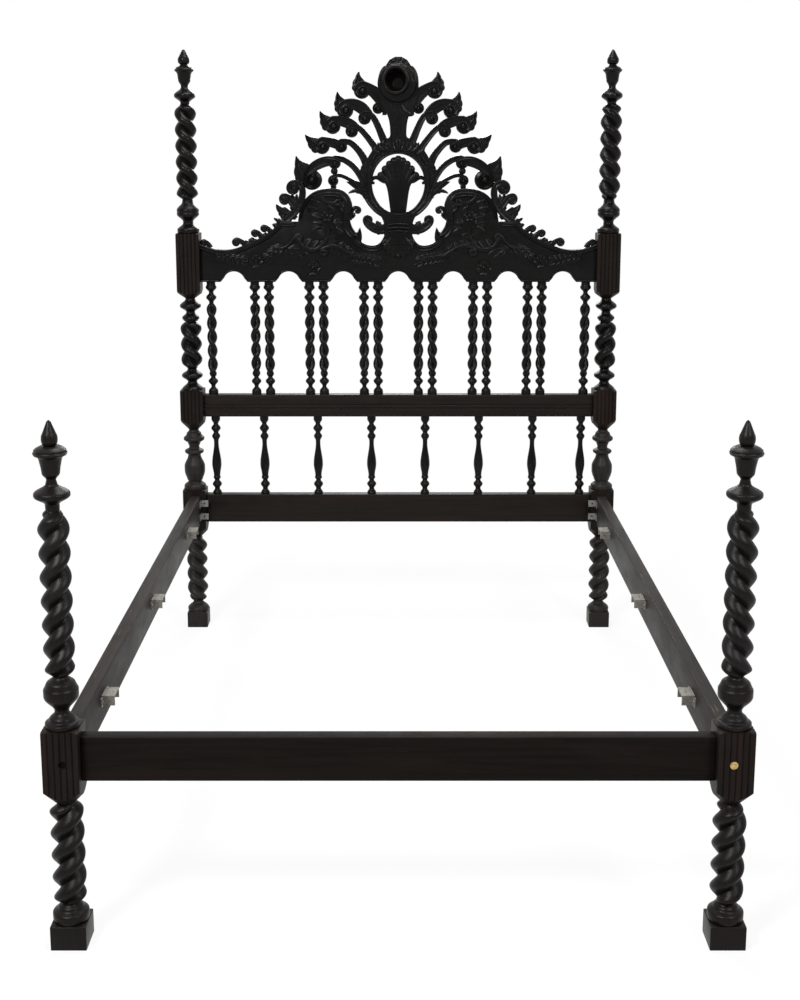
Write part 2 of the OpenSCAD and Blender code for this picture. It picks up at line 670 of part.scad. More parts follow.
// Rib from start that swings over a volute at distance r and angle a, passing its eye at distance over, and ends on its outer side
module hooked_rib(start, r, a, over, w0, swell) {
    eye = fan_point(r, a);
    top = eye + over * way_out(a - 30);
    side = eye + 0.7 * volute_r * way_out(a + 60);
    ribbon([start, start + 0.45 * (top - start) - 0.12 * norm(top - start) * way_round(a), top - 1.3 * over * way_out(a + 60), top], w0, 22 * cu, swell);
    ribbon([top - 3 * way_out(a + 60), top + 0.7 * over * way_out(a + 60), side + 0.6 * over * way_out(a - 30), side], 22 * cu, 14 * cu, 0, 5);
}

module volute(eye, size) {
    in_crest(24) translate(eye) circle(r = size, $fn = 48);
    in_crest(8, 14) translate(eye) circle(r = 0.45 * size, $fn = 48);
}

// Broad leaf tip of length l that flames up from a volute's outer side, leaning by lean from straight up
module leaf_tip(eye, size, lean, l) {
    tip = eye + l * way_out(lean);
    low = eye + 1.1 * size * way_out(lean + 75);
    high = eye + 1.7 * size * way_out(lean - 22);
    in_crest(17) polygon(concat(
        curve([low, low + 0.35 * l * way_out(lean + 30), tip - 0.3 * l * way_out(lean - 34), tip]),
        curve([tip, tip - 0.3 * l * way_out(lean - 6), high + 0.16 * l * way_out(lean + 14), high]),
        [eye]
    ));
}

// The pierced fan on one side: ribs, volutes and leaf tips
module fan() {
    for (i = [0:FAN_N - 1]) {
        a = inner_angle(i);
        // the first volute grows from the trunk, the others end a rib
        if (i == 0) in_crest(20) hooked_rib([30, 586] * cu, inner_reach(i), a, 13 * cu, 24 * cu, 2 * cu);
        else in_crest(20) hooked_rib(fan_point(112 * cu, a - 4), inner_reach(i), a, 18 * cu, 24 * cu, 6 * cu);
        volute(fan_point(inner_reach(i), a), volute_r);
    }
    for (i = [0:OUTER_N - 1]) {
        a = outer_angle(i);
        start = i == 0 ? [52 * cu, rocaille_z - 36 * cu] : fan_point(inner_reach(i) + 16 * cu, inner_angle(i) - 2);
        in_crest(22) hooked_rib(start, outer_reach(i), a, 24 * cu, 34 * cu, 4 * cu);
        volute(fan_point(outer_reach(i), a), 1.2 * volute_r);
        leaf_tip(fan_point(outer_reach(i), a), volute_r, 8 + 15.5 * i, leaf_l);
    }
    // The large volute that ends the fan, and its leaf
    in_crest(22) ribbon(cu * [[206, 398], [252, 414], [316, 396], [313, 352]], 30 * cu, 20 * cu, 2 * cu);
    volute(cu * [295, 341], 36 * cu);
    leaf_tip(cu * [295, 344], 33 * cu, 33, 90 * cu);
    // Leaf below the lowest rib, on the oval's side
    in_crest(16) ribbon(cu * [[78, 268], [100, 292], [132, 322], [172, 336]], 18 * cu, 5 * cu, 5 * cu);
    in_crest(15) ribbon(cu * [[104, 285], [124, 312], [146, 308], [166, 300]], 14 * cu, 5 * cu, 5 * cu);
}

// Outline of one side of the two planks taken together, inner edge on the middle line
OPENING_EDGE = cu * [for (a = [0:22.5:180]) [86 + 37 * cos(a), 161 - 37 * sin(a)]];

module plank_half() {
    polygon(concat(
        [[0, 0], [inner_x, 0], [inner_x, crest_end_h]],
        curve([[inner_x - 1, crest_end_h], [inner_x - 50 * cu, 108 * cu], [590, 102] * cu, [548, 114] * cu]),
        curve([[547, 115] * cu, [490, 136] * cu, [432, 160] * cu, [398 * cu, plank_joint]]),
        curve([[338 * cu, plank_joint], [332, 270] * cu, [304, 317] * cu, [217, 316] * cu]),
        curve(cu * [[216, 316], [180, 315], [156, 290], [156, 252]]),
        curve(cu * [[156, 250], [166, 210], [166, 190], [138, 161]]),
        OPENING_EDGE,
        curve(cu * [[48, 172], [46, 195], [50, 212], [66, 232]]),
        cu * [[0, 232]]
    ));
}

// One arch with its flared feet, cut from the board's lower edge
module arch() {
    flare = 0.21 * arch_r;
    top = 0.34 * arch_r;
    translate([0, -DEEP]) circle(r = arch_r, $fn = 48);
    polygon([[-arch_r - flare, -DEEP], [arch_r + flare, -DEEP], [0.95 * arch_r, top], [-0.95 * arch_r, top]]);
}

module rosette(u, v, r) {
    petals = 6;
    in_crest(6, crest_t / 2 + 2) translate([u, v]) for (k = [0:petals - 1])
        rotate(k * 360 / petals) translate([0.55 * r, 0]) circle(r = 0.42 * r, $fn = 32);
    in_crest(8, crest_t / 2 + 4) translate([u, v]) circle(r = 0.35 * r, $fn = 32);
}

// Small curl on an edge: a stem that bends over into a round end
module edge_curl(from, to, r, w = 22 * cu) {
    along = to - from;
    in_crest(18) ribbon([from, from + 0.5 * [along[1], -along[0]] + 0.3 * along, to + [0, 1.6 * r], to], w, r, 0, 5);
    in_crest(20) translate(to) circle(r = r, $fn = 32);
}

// Space on one side of the joint between the planks
module beyond_joint(up) {
    big = 3 * bed_w;
    translate([-big / 2, post_y - big / 2, up ? z_crest + plank_joint : z_crest + plank_joint - big]) cube(big);
}

module dowels(gap) {
    for (x = dowel_xs)
        translate([x, post_y, z_crest + plank_joint - dowel_l / 2 - gap])
            cylinder(d = dowel_d + 2 * gap, h = dowel_l + 2 * gap, $fn = 48);
}

module crest_dowels() {
    color(RAIL_WOOD) dowels(0);
}

// Lower plank: arches, curved top edge and the round openings beside the pedestal
module crest_board() {
    color(DARK_WOOD) difference() {
        union() {
            intersection() {
                in_crest(crest_t) both_halves() plank_half();
                beyond_joint(false);
            }
            translate([-inner_x - tenon_l, post_y - tenon_t / 2, z_crest + tenon_shoulder])
                cube([tenon_l + 20, tenon_t, crest_end_h - 2 * tenon_shoulder]);
            translate([inner_x - 20, post_y - tenon_t / 2, z_crest + tenon_shoulder])
                cube([tenon_l + 20, tenon_t, crest_end_h - 2 * tenon_shoulder]);
            both_sides() {
                rosette(480 * cu, 70 * cu, 25 * cu);
                rosette(291 * cu, 48 * cu, 27 * cu);
                edge_curl(cu * [424, 158], cu * [450, 180], 9 * cu);
                edge_curl(cu * [456, 142], cu * [482, 164], 9 * cu);
                edge_curl(cu * [516, 118], cu * [546, 133], 10 * cu);
                in_crest(18) translate([inner_x - 14 * cu, crest_end_h]) circle(r = 9 * cu, $fn = 32);
                // Leaf and hook inside the round opening
                in_crest(20) ribbon(cu * [[146, 118], [140, 140], [124, 150], [133, 180]], 20 * cu, 4 * cu, 8 * cu);
                in_crest(20) ribbon(cu * [[40, 186], [62, 176], [82, 184], [102, 202]], 20 * cu, 8 * cu, 6 * cu);
            }
        }
        for (i = [0:arch_n - 1]) in_crest(crest_t + 2 * DEEP)
            translate([(i - (arch_n - 1) / 2) * arch_pitch, 0]) arch();
        for (x = twist_xs) spindle_hole(x, z_crest - DEEP);
        dowels(joint_gap);
    }
}

// Half of the palmette's outline: scalloped shell above, tapering stem below
module palmette_half() {
    for (k = [0:4]) translate([12 * cu * k, oval_z + cu * (76 - 10 * k)]) circle(r = 13 * cu, $fn = 32);
    foot_v = -oval_b - 4 * cu;
    translate([0, oval_z]) {
        polygon(concat(
            cu * [[0, 80], [50, 40], [60, 30]],
            curve(cu * [[59, 29], [43, 20], [32, -8], [31, -35]]),
            [[29, -80] * cu, [22, -96] * cu, [22 * cu, foot_v], [0, foot_v]]
        ));
        // Hook that ties the shell to the oval
        ribbon([[44, 22] * cu, [56, 2] * cu, [70, 22] * cu, [oval_a + 4 * cu, 8 * cu]], 14 * cu, 8 * cu, 4 * cu);
    }
}

// Trunk from the oval up to the rocaille, one side
module trunk_half() {
    base = [0, oval_z + oval_b];
    neck = [27 * cu, oval_z + 1.6 * oval_b + 28 * cu];
    head = [0, rocaille_z];
    polygon(concat(
        [base + [0, 8] * cu],
        curve([base + [78, -6] * cu, base + [46, 37] * cu, neck - [0, 26] * cu, neck]),
        curve([neck + [0, 1] * cu, neck + [0, 34] * cu, head + [36, -98] * cu, head + [60, -60] * cu]),
        curve([head + [61, -59] * cu, head + [76, 6] * cu, head + [66, 52] * cu, head + [40, 60] * cu], 5),
        [head + [0, 70] * cu]
    ));
    // Fluted cap
    translate(head + [0, 45] * cu) {
        circle(r = 36 * cu, $fn = 48);
        for (a = [0:28:84]) rotate(-a) translate([0, 34 * cu]) circle(r = 9 * cu, $fn = 32);
    }
}

// Scroll border down the outer side of the lobe, with the chain of curls on the plateau
module lobe_border() {
    in_crest(22) ribbon(cu * [[354, 334], [318, 340], [310, 300], [328, 256]], 12 * cu, 15 * cu, 4 * cu);
    in_crest(21) ribbon(cu * [[326, 262], [336, 238], [350, 222], [378, 203]], 15 * cu, 20 * cu, 2 * cu);
    in_crest(23) translate(cu * [352, 314]) circle(r = 19 * cu, $fn = 32);
    edge_curl(cu * [334, 246], cu * [376, 274], 13 * cu, 18 * cu);
    in_crest(18) ribbon(cu * [[344, 214], [366, 232], [394, 214], [408, 246]], 22 * cu, 4 * cu, 8 * cu);
    in_crest(19) translate(cu * [388, 218]) circle(r = 11 * cu, $fn = 32);
    // Hook on the lobe's inner side
    in_crest(20) ribbon(cu * [[160, 214], [152, 232], [148, 246], [134, 242]], 14 * cu, 9 * cu, 2 * cu);
}

// Upper plank: lobes, oval with its palmette, trunk and pierced fan
module crest_openwork() {
    color(DARK_WOOD) difference() {
        intersection() {
            union() {
                in_crest(crest_t) both_halves() plank_half();
                in_crest(28) difference() {
                    polygon(oval_points(oval_a + oval_band, oval_b + oval_band));
                    polygon(oval_points(oval_a, oval_b));
                }
                in_crest(21) difference() {
                    intersection() {
                        polygon(oval_points(oval_a + 35 * cu, oval_b + 61 * cu));
                        translate([-bed_w / 2, oval_z - 30 * cu]) square([bed_w, bed_w]);
                    }
                    polygon(oval_points(oval_a + EASE, oval_b + EASE));
                }
                in_crest(18) both_halves() palmette_half();
                in_crest(26) both_halves() trunk_half();
                both_sides() {
                    fan();
                    lobe_border();
                }
            }
            beyond_joint(true);
        }
        dowels(joint_gap);
    }
}

// Trumpet-shaped rocaille that stands forward of the trunk; its mouth leans up and to the left
module crest_rocaille() {
    mouth = 34;
    lip = 44;
    off = [-10, 12];   // the mouth lies left of and above the middle
    d = rocaille_depth;
    hollow = 45;
    color(DARK_WOOD) translate([0, post_y - 13, z_crest + rocaille_z]) rotate([90, 0, 0]) difference() {
        union() {
            rotate_extrude($fn = 48) polygon(concat(
                [[0, 0], [rocaille_r, 0]],
                curve([[rocaille_r + 1, 4], [rocaille_r, 0.35 * d], [lip + 16, 0.34 * d], [lip - 2, 0.62 * d]]),
                [[0, 0.62 * d]]
            ));
            translate([off[0], off[1], 0.4 * d]) rotate_extrude($fn = 48) polygon(concat(
                [[0, 0], [lip - 12, 0]],
                curve([[lip - 12, 0.1 * d], [lip - 10, 0.3 * d], [lip + 3, 0.3 * d], [lip, 0.48 * d]], 5),
                [[lip - 3, 0.6 * d], [mouth + 3, 0.6 * d], [mouth, 0.54 * d], [0, 0.54 * d]]
            ));
        }
        translate([off[0], off[1], d - hollow]) cylinder(r1 = mouth - 8, r2 = mouth, h = hollow + DEEP, $fn = 48);
    }
}

// ---- Ironwork ----

// Bed bolt through a foot post into the side rail
module bed_bolt(s) {
    color(IRON) translate([s * side_x, bolt_seat_y, z_bolt]) rotate([-90, 0, 0]) {
        translate([0, 0, -bolt_head_t]) cylinder(d = bolt_head_d, h = bolt_head_t, $fn = 48);
        cylinder(d = bolt_d, h = -inner_y + bolt_reach - bolt_seat_y, $fn = 48);
    }
}

module bolt_nut(s) {
    color(IRON) translate([s * side_x, y_nut, z_bolt]) rotate([-90, 0, 0]) difference() {
        translate([-nut_w / 2, -nut_w / 2, 0]) cube([nut_w, nut_w, nut_t]);
        translate([0, 0, -DEEP]) cylinder(d = bolt_d + 2 * metal_gap, h = nut_t + 2 * DEEP, $fn = 48);
    }
}

// Brass cover over the bolt's pocket
module bolt_cap() {
    color(BRASS) translate([side_x, bolt_seat_y - bolt_head_t - metal_gap, z_bolt]) rotate([90, 0, 0])
        cylinder(d = bolt_head_d, h = bolt_pocket - bolt_head_t - metal_gap, $fn = 48);
}

// Pressed-iron slat bracket, open below, drawn for the right side with its back on the rail
module slat_bracket(s, y) {
    ear_z = z_bracket - bracket_h;
    color(IRON) mirror([s == LEFT ? 1 : 0, 0, 0]) translate([side_face, y, 0]) difference() {
        union() {
            translate([-bracket_out, -bracket_l / 2, z_bracket - iron_t]) cube([bracket_out, bracket_l, iron_t]);
            for (end = [-1, 1])
                translate([-bracket_out, end * (bracket_l - iron_t) / 2 - iron_t / 2, ear_z])
                    cube([bracket_out, iron_t, bracket_h]);
            translate([-iron_t, -bracket_l / 2 - ear_l, ear_z]) cube([iron_t, bracket_l + 2 * ear_l, bracket_h - iron_t]);
        }
        for (end = [-1, 1]) translate([0, end * (bracket_l + ear_l) / 2, z_bracket - bracket_h / 2]) rotate([0, 90, 0])
            cylinder(d = screw_d + 2 * metal_gap, h = 4 * iron_t, center = true, $fn = 32);
        translate([-bracket_out / 2, 0, z_bracket - bracket_h / 2]) rotate([90, 0, 0])
            cylinder(d = screw_d + 1, h = bracket_l + 2 * DEEP, center = true, $fn = 32);
    }
}

// Small screw driven outwards at the right side: its head stands on the plane x = 0
module small_screw() {
    rotate([0, 90, 0]) cylinder(d = screw_d, h = screw_l, $fn = 32);
    translate([-screw_head_t, 0, 0]) rotate([0, 90, 0])
        cylinder(d1 = 0.7 * screw_head_d, d2 = screw_head_d, h = screw_head_t, $fn = 32);
}

module on_side(s) {
    mirror([s == LEFT ? 1 : 0, 0, 0]) children();
}

module pilot() {
    translate([-DEEP, 0, 0]) rotate([0, 90, 0]) cylinder(d = screw_d + 2 * metal_gap, h = screw_l + DEEP + 1, $fn = 32);
}

module bracket_pilots(s, y) {
    for (end = [-1, 1]) on_side(s)
        translate([side_face, y + end * (bracket_l + ear_l) / 2, z_bracket - bracket_h / 2]) pilot();
}

module bracket_screws() {
    color(IRON) for (s = [LEFT, RIGHT]) for (y = bracket_ys) for (end = [-1, 1]) on_side(s)
        translate([side_face - iron_t, y + end * (bracket_l + ear_l) / 2, z_bracket - bracket_h / 2]) small_screw();
}

// Angle plate in the corner between a side rail and a head post, one leg on each
module corner_plate(s, z) {
    color(IRON) on_side(s) translate([side_face, inner_y, z - plate_h / 2]) difference() {
        union() {
            translate([-iron_t, -plate_l, 0]) cube([iron_t, plate_l, plate_h]);
            translate([-plate_l, -iron_t, 0]) cube([plate_l, iron_t, plate_h]);
        }
        translate([0, -plate_l / 2 - iron_t / 2, plate_h / 2]) rotate([0, 90, 0])
            cylinder(d = screw_d + 2 * metal_gap, h = 4 * iron_t, center = true, $fn = 32);
        translate([-plate_l / 2, 0, plate_h / 2]) rotate([90, 0, 0])
            cylinder(d = pivot_hole_d, h = 4 * iron_t, center = true, $fn = 32);
    }
}

module plate_pilot(s, z) {
    on_side(s) translate([side_face, inner_y - plate_l / 2 - iron_t / 2, z]) pilot();
}

module corner_screws() {
    color(IRON) for (s = [LEFT, RIGHT]) for (z = plate_zs) on_side(s)
        translate([side_face - iron_t, inner_y - plate_l / 2 - iron_t / 2, z]) small_screw();
}

// ---- The assembly ----

foot_post(LEFT);  // foot_post_left
foot_post(RIGHT);  // foot_post_right
head_post(LEFT);  // head_post_left
head_post(RIGHT);  // head_post_right
finial(LEFT, FOOT, z_foot_drop, foot_drop_h, foot_drop_d);  // foot_finial_left
finial(RIGHT, FOOT, z_foot_drop, foot_drop_h, foot_drop_d);  // foot_finial_right
finial(LEFT, HEAD, z_head_drop, head_drop_h, head_drop_d);  // head_finial_left
finial(RIGHT, HEAD, z_head_drop, head_drop_h, head_drop_d);  // head_finial_right
foot_rail();
side_rail(LEFT);  // side_rail_left
side_rail(RIGHT);  // side_rail_right
head_rail();
middle_rail();
crest_board();
crest_openwork();
crest_rocaille();
crest_dowels();
for (i = [1:len(twist_xs)]) {
    twist_spindle(i);
}
for (i = [1:len(vase_xs)]) {
    vase_spindle(i);
}
for (i = [1:3]) {
    slat_bracket(LEFT, bracket_ys[i - 1]);
    slat_bracket(RIGHT, bracket_ys[i - 1]);
}
corner_plate(LEFT, plate_zs[0]);  // corner_plate_left_low
corner_plate(LEFT, plate_zs[1]);  // corner_plate_left_high
corner_plate(RIGHT, plate_zs[0]);  // corner_plate_right_low
corner_plate(RIGHT, plate_zs[1]);  // corner_plate_right_high
bed_bolt(LEFT);  // bed_bolt_left
bed_bolt(RIGHT);  // bed_bolt_right
bolt_nut(LEFT);  // bolt_nut_left
bolt_nut(RIGHT);  // bolt_nut_right
bolt_cap();  // bolt_cap_right
bracket_screws();
corner_screws();
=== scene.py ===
"""Looks of a turned and carved four-post bedstead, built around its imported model.

Lengths are written in millimetres and become metres where a mesh is made. X runs across
the bed, Y from the foot to the head and Z up from the floor.
"""

from __future__ import annotations

import logging
import math
from collections.abc import Iterable, Sequence
from dataclasses import dataclass
from enum import Enum
from typing import Any

import bmesh
import bpy
from bmesh.types import BMEdge, BMesh, BMFace, BMVert
from mathutils import Matrix, Vector

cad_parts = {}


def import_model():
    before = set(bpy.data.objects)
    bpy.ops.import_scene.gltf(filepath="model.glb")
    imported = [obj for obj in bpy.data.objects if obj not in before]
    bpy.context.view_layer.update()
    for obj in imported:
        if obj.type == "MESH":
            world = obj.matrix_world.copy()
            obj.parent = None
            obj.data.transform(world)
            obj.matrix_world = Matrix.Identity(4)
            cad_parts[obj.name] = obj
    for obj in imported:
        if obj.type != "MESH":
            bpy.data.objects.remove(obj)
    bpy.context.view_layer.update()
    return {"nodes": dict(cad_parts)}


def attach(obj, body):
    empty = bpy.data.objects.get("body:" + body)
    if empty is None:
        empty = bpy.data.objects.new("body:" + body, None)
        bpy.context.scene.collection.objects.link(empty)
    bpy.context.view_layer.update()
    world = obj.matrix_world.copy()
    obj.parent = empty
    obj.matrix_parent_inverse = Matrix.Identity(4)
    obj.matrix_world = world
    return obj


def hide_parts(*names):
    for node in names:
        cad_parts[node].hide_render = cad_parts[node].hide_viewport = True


LOG = logging.getLogger("bedstead")
MM = 0.001
BODY = "root"
GROOVE_BAR = 0.707  # side of a square bar whose diagonal, the groove's width, is 1
Point = tuple[float, float]


# ---- Names of options ----


class Side(Enum):
    """Left or right of the bed, seen from the foot."""

    LEFT = -1
    RIGHT = 1

    @property
    def word(self) -> str:
        """The side as the nodes spell it."""
        return self.name.lower()


class Hand(Enum):
    """Which way a rope twist climbs: to the right or to the left on the side that is seen."""

    LEFTWARD = -1
    RIGHTWARD = 1


class Run(Enum):
    """How a turned outline runs up to a station."""

    LINE = "straight"
    OGEE = "along the axis at both ends"
    COVE = "leaves square to the axis and arrives along it"


class Section(Enum):
    """Cross-sections of a carved band, as shares of its half-width and of its depth."""

    MOULDED = ((-1, 0), (-1, 0.6), (-0.84, 0.92), (-0.62, 1), (-0.4, 0.86), (0, 0.66), (0.4, 0.86), (0.62, 1),
               (0.84, 0.92), (1, 0.6), (1, 0))
    ROUND = ((-1, 0), (-1, 0.45), (-0.82, 0.78), (-0.5, 0.95), (0, 1), (0.5, 0.95), (0.82, 0.78), (1, 0.45), (1, 0))
    LEAF = ((-1, 0), (-1, 0.42), (-0.72, 0.62), (-0.4, 0.6), (-0.14, 0.78), (0, 1), (0.14, 0.78), (0.4, 0.6),
            (0.72, 0.62), (1, 0.42), (1, 0))
    SCOOPED = ((-1, 0), (-1, 0.8), (-0.8, 1), (-0.6, 0.84), (-0.2, 0.5), (0.4, 0.55), (0.78, 0.85), (1, 0.7), (1, 0))


MOULDED, ROUND, LEAF, SCOOPED = Section


class Cut(Enum):
    """How one solid works on another."""

    KEEP_COMMON = "INTERSECT"
    TAKE_AWAY = "DIFFERENCE"


# ---- Shared sizes ----


@dataclass(frozen=True)
class Bed:
    """Sizes that several pieces share, in millimetres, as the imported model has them."""

    post_x: float = 710
    post_y: float = 1000
    block: float = 78
    head_foot: float = 71
    front_foot: float = 78
    foot_h: float = 55
    neck_z: float = 326
    shoulder: float = 40
    leg_neck: float = 35
    mid_neck: float = 34
    top_neck: float = 33
    block_z: float = 366
    block_top: float = 500
    rail_z: float = 382
    rail_h: float = 99
    rail_t: float = 34
    side_x: float = 705
    mid_neck_z: float = 712
    mid_z: float = 752
    mid_top: float = 852
    mid_rail_z: float = 758
    mid_rail_h: float = 77
    top_neck_z: float = 1168
    top_z: float = 1196
    top_top: float = 1389
    crest_z: float = 1224
    joint_v: float = 205
    leg_rope_d: float = 72
    foot_rope_neck: float = 29
    mid_rope_neck: float = 31
    top_rope_neck: float = 30
    foot_rope_d: float = 65.5
    head_rope_d: float = 72
    leg_pitch: float = 101.5
    foot_pitch: float = 103
    head_pitch: float = 106.5
    overlap: float = 2
    seat: float = 0.5

    @property
    def inner_x(self) -> float:
        """Half the width between the post blocks."""
        return self.post_x - self.block / 2

    @property
    def inner_y(self) -> float:
        """Half the length between the post blocks."""
        return self.post_y - self.block / 2

    @property
    def arch_pitch(self) -> float:
        """Distance between the crest board's arches."""
        return (2 * self.inner_x - 40) / 7


BED = Bed()

Stations = tuple[tuple[float, float, Run], ...]
LINE, OGEE, COVE = Run

HEAD_LEG_BASE: Stations = ((0, 70, LINE), (3, 73, COVE), (9, 74, LINE), (35, 33, OGEE), (37, 33, LINE))
FOOT_LEG_BASE: Stations = ((0, 70, LINE), (8, 78, COVE), (19, 78, LINE), (31, 54, OGEE), (41, 37, OGEE))
FOOT_BULB: Stations = (
    (0, 64, LINE), (4, 73, COVE), (10, 73, LINE), (16, 56, OGEE), (18, 55, LINE), (34, 31, OGEE), (36, 31, LINE),
    (70, 74, OGEE), (83, 74, LINE), (91, 67, OGEE), (96, 62, LINE), (113, 31, OGEE),
)
FOOT_URN: Stations = (
    (0, 29, LINE), (14, 30, LINE), (33, 75, OGEE), (37, 75, LINE), (58, 24, OGEE), (66, 20, LINE), (80, 37, OGEE),
    (92, 40, LINE), (111, 48, LINE), (114, 52, LINE), (119, 68, OGEE), (123, 71, LINE), (129, 66, COVE),
    (133, 57, LINE), (137, 41, LINE),
)
HEAD_VASE: Stations = (
    (0, 72, LINE), (5, 76, COVE), (12, 75, LINE), (28, 46, OGEE), (30, 46, LINE), (38, 55, COVE), (47, 63, LINE),
    (58, 69, LINE), (75, 71, COVE), (80, 71, LINE), (121, 43.5, OGEE), (132, 65, OGEE), (136, 65, LINE),
    (147, 35.5, OGEE), (152, 35, LINE), (163, 43, OGEE), (177, 71.5, OGEE), (181, 71.5, LINE), (193, 52, OGEE),
    (197, 50, LINE), (208, 34, OGEE), (212, 34, LINE),
)
MID_BASE: Stations = (
    (0, 72, LINE), (2, 72, LINE), (27, 32, OGEE), (28, 32, LINE), (48, 71.5, OGEE), (51, 71.5, LINE),
    (71, 31, OGEE), (73, 31, LINE),
)
MID_RINGS: Stations = (
    (0, 47, LINE), (9, 58.5, OGEE), (11, 58.5, LINE), (29, 30, OGEE), (31, 30, LINE), (50, 71.5, OGEE),
    (53, 71.5, LINE), (75, 33, OGEE), (78, 33, LINE),
)
HEAD_BULB: Stations = (
    (0, 66, LINE), (8, 74, COVE), (12, 74.5, LINE), (34, 34.5, OGEE), (39, 34, LINE), (64, 74.5, OGEE),
    (69, 74.5, LINE), (71, 72, LINE), (74, 74.5, LINE), (78, 74.5, LINE), (106, 36, OGEE), (113, 35, LINE),
)
HEAD_URN: Stations = (
    (0, 30, LINE), (5, 30.5, LINE), (26, 71, OGEE), (30, 71, LINE), (55, 24, OGEE), (58, 23.5, LINE),
    (78, 41, OGEE), (98, 46, LINE), (101, 49, LINE), (109, 63, OGEE), (113, 64, LINE), (119, 53.5, COVE),
    (125, 28, LINE), (130, 24, LINE),
)
DROP: Stations = (
    (0, 0.6, LINE), (0.28, 1.0, COVE), (0.4, 0.96, LINE), (0.5, 0.82, LINE), (0.75, 0.5, LINE), (0.94, 0.26, LINE),
    (1.0, 0.05, LINE),
)
TWIST_FOOT: Stations = (
    (0, 31, LINE), (8, 33, COVE), (13, 32, LINE), (27, 14, OGEE), (29, 14, LINE), (45, 33, OGEE), (47, 33, LINE),
    (60, 15, OGEE), (62, 15, LINE),
)
TWIST_TOP: Stations = (
    (0, 15.5, LINE), (2, 15.5, LINE), (18, 35, OGEE), (20, 35, LINE), (34, 15.5, OGEE), (36, 15.5, LINE),
    (52, 37, OGEE), (54, 37, LINE), (62, 30, OGEE), (72, 30, LINE),
)
VASE_FOOT: Stations = (
    (0, 27, LINE), (5, 31, COVE), (18, 17.5, OGEE), (20, 17.5, LINE), (34, 32, OGEE), (36, 32, LINE),
    (49, 16.5, OGEE), (58, 25, OGEE), (60, 25, LINE), (64, 22, OGEE),
)
VASE_TOP: Stations = (
    (0, 16, LINE), (8, 16.5, LINE), (23, 28.5, OGEE), (25, 28.5, LINE), (36, 16.5, OGEE), (51, 32.5, OGEE),
    (53, 32.5, LINE), (67, 16, OGEE), (83, 30, OGEE), (95, 30, LINE),
)


# ---- Shader nodes ----


class Wire:
    """A value in a material's node tree that takes part in arithmetic."""

    def __init__(self, shop: "Shader", socket: bpy.types.NodeSocket) -> None:
        """Wraps an output socket."""
        self.shop = shop
        self.socket = socket

    def _math(self, operation: str, *values: "Wire | float", clamp: bool = False) -> "Wire":
        """Adds a Math node."""
        return self.shop.add("ShaderNodeMath", {"operation": operation, "use_clamp": clamp}, dict(enumerate(values)))

    def __add__(self, other: "Wire | float") -> "Wire":
        """Sum."""
        return self._math("ADD", self, other)

    __radd__ = __add__

    def __sub__(self, other: "Wire | float") -> "Wire":
        """Difference."""
        return self._math("SUBTRACT", self, other)

    def __rsub__(self, other: "Wire | float") -> "Wire":
        """Reflected difference."""
        return self._math("SUBTRACT", other, self)

    def __mul__(self, other: "Wire | float") -> "Wire":
        """Product."""
        return self._math("MULTIPLY", self, other)

    def clamped(self) -> "Wire":
        """The value held between 0 and 1."""
        return self._math("ADD", self, 0.0, clamp=True)

    def between(self, low: float, high: float) -> "Wire":
        """Rises smoothly from 0 at low to 1 at high."""
        kind, inputs = {"interpolation_type": "SMOOTHSTEP"}, {"Value": self, "From Min": low, "From Max": high}
        return self.shop.add("ShaderNodeMapRange", kind, inputs, "Result")


Value = Wire | float | tuple[float, ...]


